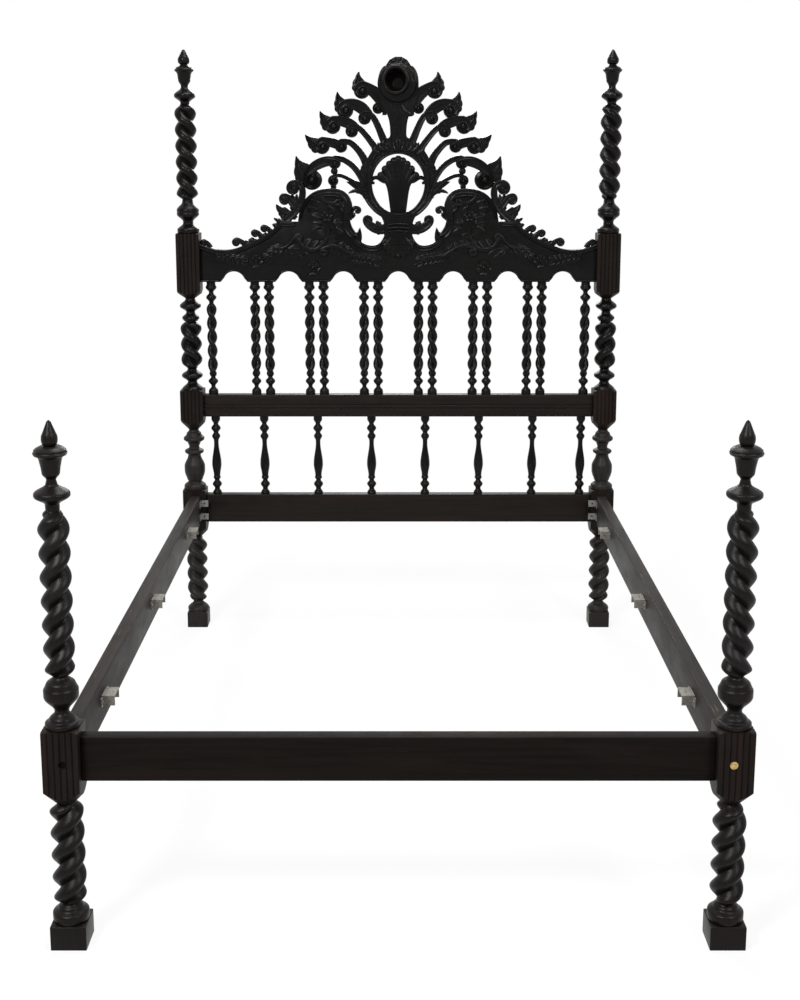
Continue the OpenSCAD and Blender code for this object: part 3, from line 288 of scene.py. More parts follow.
class Shader:
    """Builds the nodes of one material or world."""

    def __init__(self, owner: bpy.types.Material | bpy.types.World, kind: str = "ShaderNodeOutputMaterial") -> None:
        """Starts an empty node tree with an output.

        Args:
            owner: The material or world.
            kind: The output's type.
        """
        self.owner = owner
        owner.use_nodes = True
        self.tree = owner.node_tree
        self.tree.nodes.clear()
        self.output = self.tree.nodes.new(kind)

    def add(self, kind: str, settings: dict[str, Any], inputs: dict[int | str, Value], output: int | str = 0) -> Wire:
        """Adds a node.

        Args:
            kind: The node's type.
            settings: Its properties, set first.
            inputs: Values or wires by input name or number.
            output: The output that is wanted.

        Returns:
            That output.
        """
        node = self.tree.nodes.new(kind)
        for key, value in settings.items():
            if key == "stops":
                self._set_stops(node.color_ramp, value)
            else:
                setattr(node, key, value)
        for key, value in inputs.items():
            if isinstance(value, Wire):
                self.tree.links.new(value.socket, node.inputs[key])
            else:
                node.inputs[key].default_value = value
        return Wire(self, node.outputs[output])

    @staticmethod
    def _set_stops(ramp: bpy.types.ColorRamp, stops: Sequence[tuple[float, tuple[float, float, float]]]) -> None:
        """Sets a colour ramp's stops.

        Args:
            ramp: The ramp.
            stops: Position and colour of each stop.
        """
        while len(ramp.elements) < len(stops):
            ramp.elements.new(0.5)
        for element, (place, colour) in zip(ramp.elements, stops):
            element.position = place
            element.color = (*colour, 1.0)

    def place(self, scale: tuple[float, float, float], turn: tuple[float, float, float] = (0, 0, 0)) -> Wire:
        """Object coordinates, stretched and turned for a pattern.

        Args:
            scale: Repeats per metre along each axis.
            turn: Turn about each axis, in degrees.

        Returns:
            The coordinates.
        """
        where = self.add("ShaderNodeTexCoord", {}, {}, "Object")
        rotation = tuple(math.radians(a) for a in turn)
        return self.add("ShaderNodeMapping", {}, {"Vector": where, "Rotation": rotation, "Scale": scale})

    def noise(self, where: Wire, detail: float = 3, rough: float = 0.55, bend: float = 0.0) -> Wire:
        """Noise of scale 1 on given coordinates."""
        inputs = {"Vector": where, "Scale": 1.0, "Detail": detail, "Roughness": rough, "Distortion": bend}
        return self.add("ShaderNodeTexNoise", {}, inputs, "Fac")

    def ramp(self, share: Wire, *stops: tuple[float, tuple[float, float, float]]) -> Wire:
        """A colour that follows a share."""
        return self.add("ShaderNodeValToRGB", {"stops": stops}, {"Fac": share}, "Color")

    def blend(self, share: Value, first: Value, second: Value) -> Wire:
        """Mixes two colours."""
        colours = [(*c, 1.0) if isinstance(c, tuple) else c for c in (first, second)]
        return self.add("ShaderNodeMix", {"data_type": "RGBA"}, {0: share, 6: colours[0], 7: colours[1]}, 2)

    def bump(self, height: Wire, strength: float, distance: float) -> Wire:
        """A normal from a height."""
        return self.add("ShaderNodeBump", {}, {"Height": height, "Strength": strength, "Distance": distance * MM})

    def end(self, shader: Wire) -> bpy.types.Material | bpy.types.World:
        """Wires a shader to the output and gives back the material or world."""
        self.tree.links.new(shader.socket, self.output.inputs["Surface"])
        return self.owner

    def surface(self, inputs: dict[int | str, Value]) -> bpy.types.Material:
        """Ends the material in a Principled surface with these inputs."""
        return self.end(self.add("ShaderNodeBsdfPrincipled", {}, inputs))


# ---- Finishes ----


@dataclass(frozen=True)
class Rosewood:
    """Dark rosewood under old polish, with streaks along the grain and pores."""

    name: str
    deep: tuple[float, float, float]
    brown: tuple[float, float, float]
    red: tuple[float, float, float]
    redness: float = 0.5
    polish: float = 0.29
    dust: float = 0.12
    gleam: float = 0.12
    grain: tuple[float, float, float] = (160, 160, 6)

    def material(self) -> bpy.types.Material:
        """Builds the finish.

        Returns:
            The material.
        """
        shop = Shader(bpy.data.materials.new(self.name))
        along = shop.place(self.grain)
        streak = shop.noise(along, detail=4, rough=0.62, bend=0.4)
        broad = shop.noise(shop.place(tuple(g / 5 for g in self.grain)), detail=2, bend=0.6)
        cloud = shop.noise(shop.place((9, 9, 9)), detail=3)
        wood = shop.ramp(streak, (0.28, self.deep), (0.55, self.brown), (0.78, self.deep))
        reddish = (broad.between(0.48, 0.68) * self.redness).clamped()
        wood = shop.blend(reddish, wood, self.red)
        haze = (cloud.between(0.5, 0.75) * self.dust).clamped()
        wood = shop.blend(haze, wood, (0.024, 0.024, 0.024))
        pores = shop.noise(shop.place(tuple(g * 5 for g in self.grain)), detail=2)
        rough = (self.polish + (cloud - 0.5) * 0.22 + (pores - 0.5) * 0.12).clamped()
        height = streak * 0.5 + pores.between(0.35, 0.6) * 0.5
        return shop.surface({
            "Base Color": wood, "Roughness": rough, "Specular IOR Level": self.gleam,
            "Normal": shop.bump(height, 0.25, 0.5),
        })


@dataclass(frozen=True)
class WornBoard:
    """Rosewood board whose polish has worn, with scratches and rubbed reddish patches."""

    name: str
    deep: tuple[float, float, float]
    brown: tuple[float, float, float]
    patch: tuple[float, float, float]
    scar: tuple[float, float, float]
    grain: tuple[float, float, float]
    patches: float = 0.6
    scratches: float = 0.5
    polish: float = 0.48
    gleam: float = 0.09

    def material(self) -> bpy.types.Material:
        """Builds the finish.

        Returns:
            The material.
        """
        shop = Shader(bpy.data.materials.new(self.name))
        streak = shop.noise(shop.place(self.grain), detail=5, rough=0.6, bend=0.3)
        broad = shop.noise(shop.place(tuple(g / 6 + 1 for g in self.grain)), detail=4, rough=0.6, bend=0.8)
        cloud = shop.noise(shop.place((13, 5, 13)), detail=5, rough=0.65)
        wood = shop.ramp(streak, (0.3, self.deep), (0.62, self.brown), (0.8, self.deep))
        wood = shop.blend((broad.between(0.5, 0.66) * self.patches).clamped(), wood, self.patch)
        line = shop.noise(shop.place(tuple(g * 2.4 for g in self.grain), (0, 24, 0)), detail=1)
        cross = shop.noise(shop.place(tuple(g * 2.2 for g in self.grain), (17, 0, 0)), detail=1)
        scratch = (line.between(0.71, 0.76) + cross.between(0.72, 0.78)).clamped()
        scratch = (scratch * cloud.between(0.45, 0.65) * self.scratches).clamped()
        wood = shop.blend(scratch, wood, self.scar)
        wood = shop.blend((cloud.between(0.5, 0.8) * 0.3).clamped(), wood, self.patch)
        rough = (self.polish + (cloud - 0.5) * 0.4 + scratch * 0.2).clamped()
        height = streak * 0.6 - scratch * 0.8
        return shop.surface({
            "Base Color": wood, "Roughness": rough, "Specular IOR Level": self.gleam,
            "Normal": shop.bump(height, 0.3, 0.5),
        })


@dataclass(frozen=True)
class OldMetal:
    """Dull metal with grime and rubbed spots."""

    name: str
    clean: tuple[float, float, float]
    grime: tuple[float, float, float]
    polish: float = 0.5
    metal: float = 0.85

    def material(self) -> bpy.types.Material:
        """Builds the finish.

        Returns:
            The material.
        """
        shop = Shader(bpy.data.materials.new(self.name))
        spots = shop.noise(shop.place((140, 140, 140)), detail=4, rough=0.65)
        fine = shop.noise(shop.place((900, 900, 900)), detail=2)
        dirt = spots.between(0.42, 0.66)
        colour = shop.blend(dirt, self.clean, self.grime)
        return shop.surface({
            "Base Color": colour,
            "Metallic": (self.metal - dirt * 0.5).clamped(),
            "Roughness": (self.polish + dirt * 0.25 + (fine - 0.5) * 0.15).clamped(),
            "Normal": shop.bump(fine * 0.4 + spots * 0.6, 0.25, 0.4),
        })


class Finishes:
    """The bed's materials, each made once."""

    def __init__(self) -> None:
        """Builds all of them."""
        self.turned = Rosewood("polished_rosewood", (0.0026, 0.0023, 0.0023), (0.005, 0.0042, 0.0039),
                               (0.0072, 0.0045, 0.0038), 0.3).material()
        self.leg = Rosewood(
            "rubbed_rosewood", (0.0034, 0.003, 0.0028), (0.0072, 0.0058, 0.0053), (0.01, 0.0061, 0.005), 0.4,
            polish=0.38, dust=0.3,
        ).material()
        self.dusty = Rosewood(
            "dusty_rosewood", (0.009, 0.0078, 0.0072), (0.019, 0.0165, 0.0152), (0.021, 0.0155, 0.0132), 0.3,
            polish=0.4, dust=0.5,
        ).material()
        self.block = Rosewood(
            "streaked_rosewood", (0.005, 0.0037, 0.0031), (0.0101, 0.0072, 0.0061), (0.0173, 0.0093, 0.0069), 0.6,
            polish=0.44, gleam=0.08, grain=(110, 110, 4),
        ).material()
        self.carved = Rosewood(
            "carved_rosewood", (0.0023, 0.0022, 0.0022), (0.0043, 0.004, 0.0038), (0.0054, 0.004, 0.0036), 0.2,
            polish=0.27, grain=(8, 120, 120),
        ).material()
        self.cross = WornBoard(
            "worn_cross_rail", (0.0043, 0.0033, 0.0028), (0.0076, 0.0059, 0.0048), (0.0126, 0.0083, 0.0063),
            (0.03, 0.025, 0.022), (4, 120, 120), 0.5, 0.4, gleam=0.05,
        ).material()
        self.dark_cross = WornBoard(
            "dark_cross_rail", (0.0068, 0.0052, 0.0044), (0.0126, 0.0095, 0.008), (0.0199, 0.0122, 0.0092),
            (0.04, 0.032, 0.027), (4, 120, 120), 0.45, 0.3, 0.4,
        ).material()
        self.long = WornBoard(
            "worn_side_rail", (0.0104, 0.009, 0.0081), (0.02, 0.0172, 0.0158), (0.0249, 0.0179, 0.0145),
            (0.13, 0.115, 0.105), (120, 4, 120), 0.5, 1.0,
        ).material()
        self.iron = OldMetal("aged_iron", (0.27, 0.26, 0.23), (0.14, 0.13, 0.11)).material()
        self.plate = OldMetal("bright_plate", (0.28, 0.28, 0.27), (0.14, 0.135, 0.13), 0.45, 0.85).material()
        self.brass = OldMetal("dull_brass", (0.62, 0.44, 0.18), (0.26, 0.17, 0.07), 0.4, 0.9).material()
        self.dowel = Rosewood("pale_dowel", (0.3, 0.2, 0.12), (0.45, 0.33, 0.2), (0.4, 0.25, 0.14),
                              polish=0.6).material()


# ---- Shapes ----


def station_points(stations: Stations) -> list[Point]:
    """Follows a turned outline with its curves.

    Args:
        stations: Height, diameter and run of each station.

    Returns:
        Radius and height of each point.
    """
    points = [(stations[0][1] / 2, stations[0][0])]
    for (z0, d0, _), (z1, d1, run) in zip(stations, stations[1:]):
        steps = 1 if run is LINE else max(4, round((abs(d1 - d0) + z1 - z0) / 5))
        for k in range(1, steps + 1):
            t = k / steps
            turn = t * math.pi / 2
            across = {LINE: t, OGEE: (1 - math.cos(2 * turn)) / 2, COVE: math.sin(turn)}[run]
            along = 1 - math.cos(turn) if run is COVE else t
            points.append(((d0 + (d1 - d0) * across) / 2, z0 + (z1 - z0) * along))
    return points


def closed(form: BMesh) -> BMesh:
    """Merges a form's doubles, closes its ends and turns its faces outwards.

    Args:
        form: The form, which is changed.

    Returns:
        The same form.
    """
    bmesh.ops.remove_doubles(form, verts=form.verts[:], dist=0.001)
    open_edges = [edge for edge in form.edges if len(edge.link_faces) == 1]
    if open_edges:
        bmesh.ops.holes_fill(form, edges=open_edges)
    bmesh.ops.recalc_face_normals(form, faces=form.faces[:])
    return form


def spun(points: Sequence[Point], steps: int = 64) -> BMesh:
    """Turns an outline on the Z axis.

    Args:
        points: Radius and height of each point, from the low end to the high end.
        steps: Steps round the axis.

    Returns:
        The closed form.
    """
    form = bmesh.new()
    path = [(0.0, points[0][1]), *points, (0.0, points[-1][1])]
    verts = [form.verts.new((r, 0, z)) for r, z in path]
    edges = [form.edges.new(pair) for pair in zip(verts, verts[1:])]
    bmesh.ops.spin(
        form, geom=verts + edges, cent=(0, 0, 0), axis=(0, 0, 1), dvec=(0, 0, 0), angle=2 * math.pi, steps=steps,
        use_merge=True,
    )
    return closed(form)


def turned(stations: Stations, low: float = 0.0, steps: int = 64) -> BMesh:
    """Turns stations into a closed form that stands at height low."""
    return moved(spun(station_points(stations), steps), (0, 0, low))


def moved(form: BMesh, by: Sequence[float]) -> BMesh:
    """Moves a form."""
    bmesh.ops.translate(form, verts=form.verts[:], vec=by)
    return form


def rotated(form: BMesh, degrees: float, axis: str) -> BMesh:
    """Turns a form about an axis through the origin."""
    bmesh.ops.rotate(form, verts=form.verts[:], matrix=Matrix.Rotation(math.radians(degrees), 3, axis))
    return form


def box(size: Sequence[float], middle: Sequence[float], ease: float = 0.0, segments: int = 2) -> BMesh:
    """Makes a block with eased edges.

    Args:
        size: Its three sides.
        middle: Its centre.
        ease: Width of the eased edges.
        segments: Segments across an eased edge.

    Returns:
        The closed form.
    """
    form = bmesh.new()
    bmesh.ops.create_cube(form, size=1.0)
    bmesh.ops.scale(form, verts=form.verts[:], vec=size)
    if ease:
        bmesh.ops.bevel(form, geom=form.edges[:], offset=ease, segments=segments, profile=0.5, affect="EDGES",
                        material=-1, clamp_overlap=True)
    return moved(form, middle)


def dome(middle: Sequence[float], radius: float, stretch: Sequence[float] = (1, 1, 1), steps: int = 20) -> BMesh:
    """Makes a rounded bead.

    Args:
        middle: Its centre.
        radius: Its radius.
        stretch: Stretch along each axis.
        steps: Steps round it.

    Returns:
        The closed form.
    """
    form = bmesh.new()
    bmesh.ops.create_uvsphere(form, u_segments=steps, v_segments=steps // 2, radius=radius)
    bmesh.ops.scale(form, verts=form.verts[:], vec=stretch)
    return moved(form, middle)


def skinned(rows: Sequence[Sequence[Vector]]) -> BMesh:
    """Wraps a grid round rings of points and closes its ends.

    Args:
        rows: The rings, each with as many points.

    Returns:
        The closed form.
    """
    columns, last = len(rows[0]), len(rows) - 1
    form = bmesh.new()
    bmesh.ops.create_grid(form, x_segments=columns, y_segments=last, size=0.5)
    for vert in form.verts:
        column, row = round((vert.co.x + 0.5) * columns) % columns, round((vert.co.y + 0.5) * last)
        vert.co = rows[row][column]
    return closed(form)


def passing(form: BMesh, name: str) -> bpy.types.Object:
    """Makes a passing object of a form, for a modifier to work on.

    Args:
        form: The form, which is used up.
        name: The object's name.

    Returns:
        The object.
    """
    mesh = bpy.data.meshes.new(name)
    form.to_mesh(mesh)
    form.free()
    piece = bpy.data.objects.new(name, mesh)
    bpy.context.scene.collection.objects.link(piece)
    return piece


def worked(body: BMesh, tools: Sequence[tuple[BMesh, Cut]]) -> BMesh:
    """Cuts a solid with others.

    Args:
        body: The solid, which is used up.
        tools: The solids that cut it, in order, and how each cuts.

    Returns:
        What is left.
    """
    piece = passing(body, "work")
    used = [piece]
    for tool, cut in tools:
        cutter = passing(tool, "tool")
        used.append(cutter)
        change = piece.modifiers.new("cut", "BOOLEAN")
        change.operation, change.solver, change.object = cut.value, "EXACT", cutter
    mesh = bpy.data.meshes.new_from_object(piece.evaluated_get(bpy.context.evaluated_depsgraph_get()))
    result = bmesh.new()
    result.from_mesh(mesh)
    bpy.data.meshes.remove(mesh)
    for each in used:
        old = each.data
        bpy.data.objects.remove(each)
        bpy.data.meshes.remove(old)
    return result


class Piece:
    """A piece of the bed in the making, in millimetres, which gathers forms with their finishes."""

    def __init__(self, name: str, slot: str, *nodes: str, finish: bpy.types.Material | None = None) -> None:
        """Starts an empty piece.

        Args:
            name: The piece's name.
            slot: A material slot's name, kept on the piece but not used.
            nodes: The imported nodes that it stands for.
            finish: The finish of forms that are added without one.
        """
        self.name, self.slot, self.nodes, self.finish = name, slot, nodes, finish
        self.form = bmesh.new()
        self.finishes: list[bpy.types.Material] = []

    def add(self, form: BMesh, finish: bpy.types.Material | None = None, at: Sequence[float] = (0, 0, 0)) -> "Piece":
        """Joins a form to the piece.

        Args:
            form: The form, which is used up.
            finish: Its finish, where it isn't the piece's own.
            at: Where its origin goes.

        Returns:
            The piece.
        """
        finish = finish or self.finish
        if finish not in self.finishes:
            self.finishes.append(finish)
        for face in form.faces:
            face.material_index = self.finishes.index(finish)
        moved(form, at)
        mesh = bpy.data.meshes.new("passing")
        form.to_mesh(mesh)
        form.free()
        self.form.from_mesh(mesh)
        bpy.data.meshes.remove(mesh)
        return self

    def mirrored(self) -> "Piece":
        """Adds the mirror image of everything, on the other side of the bed's middle.

        Returns:
            The piece.
        """
        parts = self.form.verts[:] + self.form.edges[:] + self.form.faces[:]
        both = bmesh.ops.duplicate(self.form, geom=parts)["geom"]
        verts = [part for part in both if isinstance(part, BMVert)]
        bmesh.ops.scale(self.form, verts=verts, vec=(-1, 1, 1))
        bmesh.ops.reverse_faces(self.form, faces=[part for part in both if isinstance(part, BMFace)])
        return self

    def done(self, crease: float = 38) -> bpy.types.Object:
        """Makes the object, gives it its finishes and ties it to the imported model.

        Args:
            crease: Angle in degrees past which an edge stays sharp.

        Returns:
            The object.
        """
        bmesh.ops.scale(self.form, verts=self.form.verts[:], vec=(MM, MM, MM))
        mesh = bpy.data.meshes.new(self.name)
        self.form.to_mesh(mesh)
        self.form.free()
        for finish in self.finishes:
            mesh.materials.append(finish)
        mesh.shade_smooth()
        mesh.set_sharp_from_angle(angle=math.radians(crease))
        piece = bpy.data.objects.new(self.name, mesh)
        bpy.context.scene.collection.objects.link(piece)
        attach(piece, BODY)
        if self.nodes:
            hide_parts(*self.nodes)
        LOG.info("%s: %d faces", self.name, len(mesh.polygons))
        return piece


# ---- Turned work ----


@dataclass(frozen=True)
class Rope:
    """Two-strand rope twist between two turned necks."""

    diameter: float
    pitch: float
    hand: Hand
    neck: float
    bulge: float
    strand: float = 0.325
    around: int = 40
    per_turn: int = 56

    def form(self, low: float, high: float) -> BMesh:
        """Cuts the twist, which runs a little into the turnings at its ends.

        Args:
            low: Where the turning below it ends.
            high: Where the turning above it begins.

        Returns:
            The closed form.
        """
        low, high = low - BED.overlap, high + BED.overlap
        height = high - low
        strand = self.strand * self.diameter
        reach = self.diameter / 2 - strand
        turn = self.hand.value * 2 * math.pi / self.pitch
        form = bmesh.new()
        bmesh.ops.create_circle(form, cap_ends=False, segments=self.around, radius=1.0)
        for vert in form.verts:
            a = math.atan2(vert.co.y, vert.co.x)
            lobed = reach * abs(math.cos(a)) + math.sqrt(strand ** 2 - (reach * math.sin(a)) ** 2)
            a -= turn * self.bulge
            vert.co = (lobed * math.cos(a), lobed * math.sin(a), 0)
        steps = round(height / self.pitch * self.per_turn)
        bmesh.ops.spin(
            form, geom=form.verts[:] + form.edges[:], cent=(0, 0, 0), axis=(0, 0, self.hand.value),
            dvec=(0, 0, height / steps), angle=abs(turn) * height, steps=steps, use_merge=False,
        )
        core, fade = self.neck / 2 - 0.5, 0.2 * self.pitch
        for vert in form.verts:
            share = min(1.0, max(0.0, min(vert.co.z, height - vert.co.z) / fade))
            reached = math.hypot(vert.co.x, vert.co.y)
            kept = core + (reached - core) * math.sin(share * math.pi / 2)
            vert.co.x *= kept / reached
            vert.co.y *= kept / reached
        return moved(closed(form), (0, 0, low))


@dataclass(frozen=True)
class Block:
    """Square block left between two turnings, with its turned shoulder below."""

    low: float
    high: float
    shoulder: float
    neck: float
    reeded: tuple[float, ...] = ()
    width: float = BED.block
    grooves: int = 5
    groove: float = 5.0
    ease: float = 1.6

    def form(self) -> BMesh:
        """Cuts the block, its grooves and its shoulder.

        Returns:
            The closed form.
        """
        w, bottom = self.width, self.low - self.shoulder
        height = self.high - bottom
        body = box((w, w, height + 20), (0, 0, bottom + height / 2), self.ease)
        corner = 0.72 * w
        outline = [
            (0.5 * self.neck, bottom - 1), (0.5 * self.neck, bottom), (corner, self.low), (corner, self.high - 5),
            (0.695 * w, self.high - 2.6), (0.66 * w, self.high - 1), (0.63 * w, self.high),
        ]
        cuts = [(spun(outline, 96), Cut.KEEP_COMMON)]
        if self.reeded:
            cuts.append((self._groove_cutter(bottom, height), Cut.TAKE_AWAY))
        return worked(body, cuts)

    def _groove_cutter(self, bottom: float, height: float) -> BMesh:
        """Makes the bars that cut the grooves.

        Args:
            bottom: Height of the shoulder's lower end.
            height: Height of block and shoulder.

        Returns:
            The bars in one form.
        """
        bars = bmesh.new()
        pitch = self.width / (self.grooves + 1)
        side = self.groove * GROOVE_BAR
        for face in self.reeded:
            for i in range(1, self.grooves + 1):
                made = bmesh.ops.create_cube(bars, size=1.0)["verts"]
                bmesh.ops.scale(bars, verts=made, vec=(side, side, height + 20))
                bmesh.ops.rotate(bars, verts=made, cent=(0, 0, 0), matrix=Matrix.Rotation(math.pi / 4, 3, "Z"))
                place = (i * pitch - self.width / 2, -self.width / 2, bottom + height / 2)
                bmesh.ops.translate(bars, verts=made, vec=place)
                bmesh.ops.rotate(bars, verts=made, cent=(0, 0, 0), matrix=Matrix.Rotation(math.radians(face), 3, "Z"))
        return bars


@dataclass(frozen=True)
class Leg:
    """Square foot, its turned base and the rope-twist leg up to the rail block."""

    hand: Hand
    bulge: float
    base: Stations
    foot: float

    def build(self, post: Piece, finish: bpy.types.Material, at: Sequence[float]) -> None:
        """Adds the leg to a post.

        Args:
            post: The post.
            finish: The leg's finish.
            at: The post's foot.
        """
        top = BED.foot_h + self.base[-1][0]
        rope = Rope(BED.leg_rope_d, BED.leg_pitch, self.hand, min(BED.leg_neck, self.base[-1][1]), self.bulge)
        post.add(box((self.foot, self.foot, BED.foot_h), (0, 0, BED.foot_h / 2), 2.2, 3), finish, at)
        post.add(turned(self.base, BED.foot_h), finish, at)
        post.add(rope.form(top, BED.neck_z), finish, at)


@dataclass(frozen=True)
class FootPost:
    """Low post at the foot of the bed."""

    side: Side
    leg: Hand
    shaft: Hand
    bulge: float
    leg_bulge: float
    urn_z: float = 970
    drop_z: float = 1107
    drop_h: float = 54
    drop_d: float = 34
    pocket_r: float = 9.2
    pocket_x: float = 5
    pocket_z: float = 427.5
    pocket_depth: float = 9
    bit: float = 20

    def build(self, finishes: Finishes) -> None:
        """Makes the post and its drop.

        Args:
            finishes: The bed's finishes.
        """
        word = self.side.word
        at = (self.side.value * BED.post_x, -BED.post_y, 0)
        post = Piece(f"dressed_foot_post_{word}", "turned_rosewood", f"foot_post_{word}")
        Leg(self.leg, self.leg_bulge, FOOT_LEG_BASE, BED.front_foot).build(post, finishes.leg, at)
        block = Block(BED.block_z, BED.block_top, BED.shoulder, BED.leg_neck, (0, self.side.value * 90))
        bit = rotated(spun([(self.pocket_r, 0), (self.pocket_r, self.bit)], 48), -90, "X")
        y = self.pocket_depth - self.bit - BED.block / 2
        pocket = moved(bit, (self.side.value * -self.pocket_x, y, self.pocket_z))
        post.add(worked(block.form(), [(pocket, Cut.TAKE_AWAY)]), finishes.block, at)
        post.add(turned(FOOT_BULB, BED.block_top - BED.seat), finishes.leg, at)
        low = BED.block_top + FOOT_BULB[-1][0]
        shaft = Rope(BED.foot_rope_d, BED.foot_pitch, self.shaft, BED.foot_rope_neck, self.bulge)
        post.add(shaft.form(low, self.urn_z), finishes.leg, at)
        post.add(turned(FOOT_URN, self.urn_z), finishes.leg, at)
        post.done()
        build_drop(f"foot_finial_{word}", (at[0], at[1], self.drop_z), self.drop_h, self.drop_d, finishes.leg)


@dataclass(frozen=True)
class HeadPost:
    """Tall post at the head of the bed."""

    side: Side
    leg: Hand
    middle: Hand
    shaft: Hand
    bulges: tuple[float, float, float]
    urn_z: float = 1816
    drop_z: float = 1946
    drop_h: float = 48
    drop_d: float = 40

    def build(self, finishes: Finishes) -> None:
        """Makes the post and its drop.

        Args:
            finishes: The bed's finishes.
        """
        word = self.side.word
        at = (self.side.value * BED.post_x, BED.post_y, 0)
        faces = (0, self.side.value * 90)
        post = Piece(f"dressed_head_post_{word}", "turned_rosewood", f"head_post_{word}")
        leg, middle, shaft = self.bulges
        Leg(self.leg, leg, HEAD_LEG_BASE, BED.head_foot).build(post, finishes.dusty, at)
        post.add(Block(BED.block_z, BED.block_top, BED.shoulder, BED.leg_neck).form(), finishes.block, at)
        post.add(turned(HEAD_VASE, BED.block_top - BED.seat), finishes.dusty, at)
        block = Block(BED.mid_z, BED.mid_top, BED.mid_z - BED.mid_neck_z, BED.mid_neck, faces)
        post.add(block.form(), finishes.block, at)
        post.add(turned(MID_BASE, BED.mid_top - BED.seat), finishes.turned, at)
        low, high = BED.mid_top + MID_BASE[-1][0], BED.top_neck_z - MID_RINGS[-1][0]
        rope = Rope(BED.head_rope_d, BED.head_pitch, self.middle, BED.mid_rope_neck, middle)
        post.add(rope.form(low, high), finishes.turned, at)
        post.add(turned(MID_RINGS, high), finishes.turned, at)
        block = Block(BED.top_z, BED.top_top, BED.top_z - BED.top_neck_z, BED.top_neck, faces)
        post.add(block.form(), finishes.block, at)
        post.add(turned(HEAD_BULB, BED.top_top - BED.seat), finishes.turned, at)
        low = BED.top_top + HEAD_BULB[-1][0]
        rope = Rope(BED.head_rope_d, BED.head_pitch, self.shaft, BED.top_rope_neck, shaft)
        post.add(rope.form(low, self.urn_z), finishes.turned, at)
        post.add(turned(HEAD_URN, self.urn_z), finishes.turned, at)
        post.done()
        build_drop(f"head_finial_{word}", (at[0], at[1], self.drop_z), self.drop_h, self.drop_d, finishes.turned)


def build_drop(node: str, at: Sequence[float], height: float, diameter: float, finish: bpy.types.Material) -> None:
    """Makes the pointed drop on top of a post's urn."""
    stations = tuple((z * height, d * diameter, run) for z, d, run in DROP)
    Piece(f"dressed_{node}", "turned_rosewood", node).add(turned(stations, -BED.seat), finish, at).done()


@dataclass(frozen=True)
class Spindles:
    """The turned spindles of the headboard: twisted ones above the middle rail, vase-shaped ones below."""

    rope_d: float = 34.5
    pitch: float = 95
    bulge: float = 46
    strand: float = 0.29
    pair: float = 24
    end_x: float = 638
    low_end_x: float = 633
    vase_d: float = 32.5
    belly: float = 0.36
    neck: float = 15
    around: int = 28
    per_turn: int = 36

    def build(self, finishes: Finishes) -> None:
        """Makes all the spindles.

        Args:
            finishes: The bed's finishes.
        """
        edges = [(k - 3.5) * BED.arch_pitch for k in range(1, 7)]
        twisted = [-self.end_x, *(x + step for x in edges for step in (-self.pair, self.pair)), self.end_x]
        for i, x in enumerate(twisted, 1):
            self._twisted(i, x, finishes.turned)
        for i, x in enumerate([-self.low_end_x, *edges, self.low_end_x], 1):
            self._vase(i, x, finishes.turned)

    def _twisted(self, i: int, x: float, finish: bpy.types.Material) -> None:
        """Makes a rope-twist spindle.

        Args:
            i: Its number from the left.
            x: Where it stands.
            finish: Its finish.
        """
        low, high = BED.mid_rail_z + BED.mid_rail_h, BED.crest_z
        hand = Hand.LEFTWARD if i % 2 else Hand.RIGHTWARD
        rope_low, rope_high = low + TWIST_FOOT[-1][0], high - TWIST_TOP[-1][0]
        rope = Rope(self.rope_d, self.pitch, hand, self.neck, self.bulge, self.strand, self.around, self.per_turn)
        piece = Piece(f"dressed_twist_spindle_{i}", "turned_rosewood", f"twist_spindle_{i}")
        piece.add(turned(TWIST_FOOT, low, self.per_turn), finish, (x, BED.post_y, 0))
        piece.add(rope.form(rope_low, rope_high), finish, (x, BED.post_y, 0))
        piece.add(turned(TWIST_TOP, rope_high, self.per_turn), finish, (x, BED.post_y, 0)).done()

    def _vase(self, i: int, x: float, finish: bpy.types.Material) -> None:
        """Makes a vase-shaped spindle.

        Args:
            i: Its number from the left.
            x: Where it stands.
            finish: Its finish.
        """
        low, high = BED.rail_z + BED.rail_h, BED.mid_rail_z
        foot, top = VASE_FOOT[-1][0], high - low - VASE_TOP[-1][0]
        belly = ((foot + self.belly * (top - foot), self.vase_d, OGEE), (top, VASE_TOP[0][1], OGEE))
        stations = (*VASE_FOOT, *belly, *((top + z, d, run) for z, d, run in VASE_TOP[1:]))
        piece = Piece(f"dressed_vase_spindle_{i}", "turned_rosewood", f"vase_spindle_{i}")
        piece.add(turned(stations, low, self.per_turn), finish, (x, BED.post_y, 0)).done()


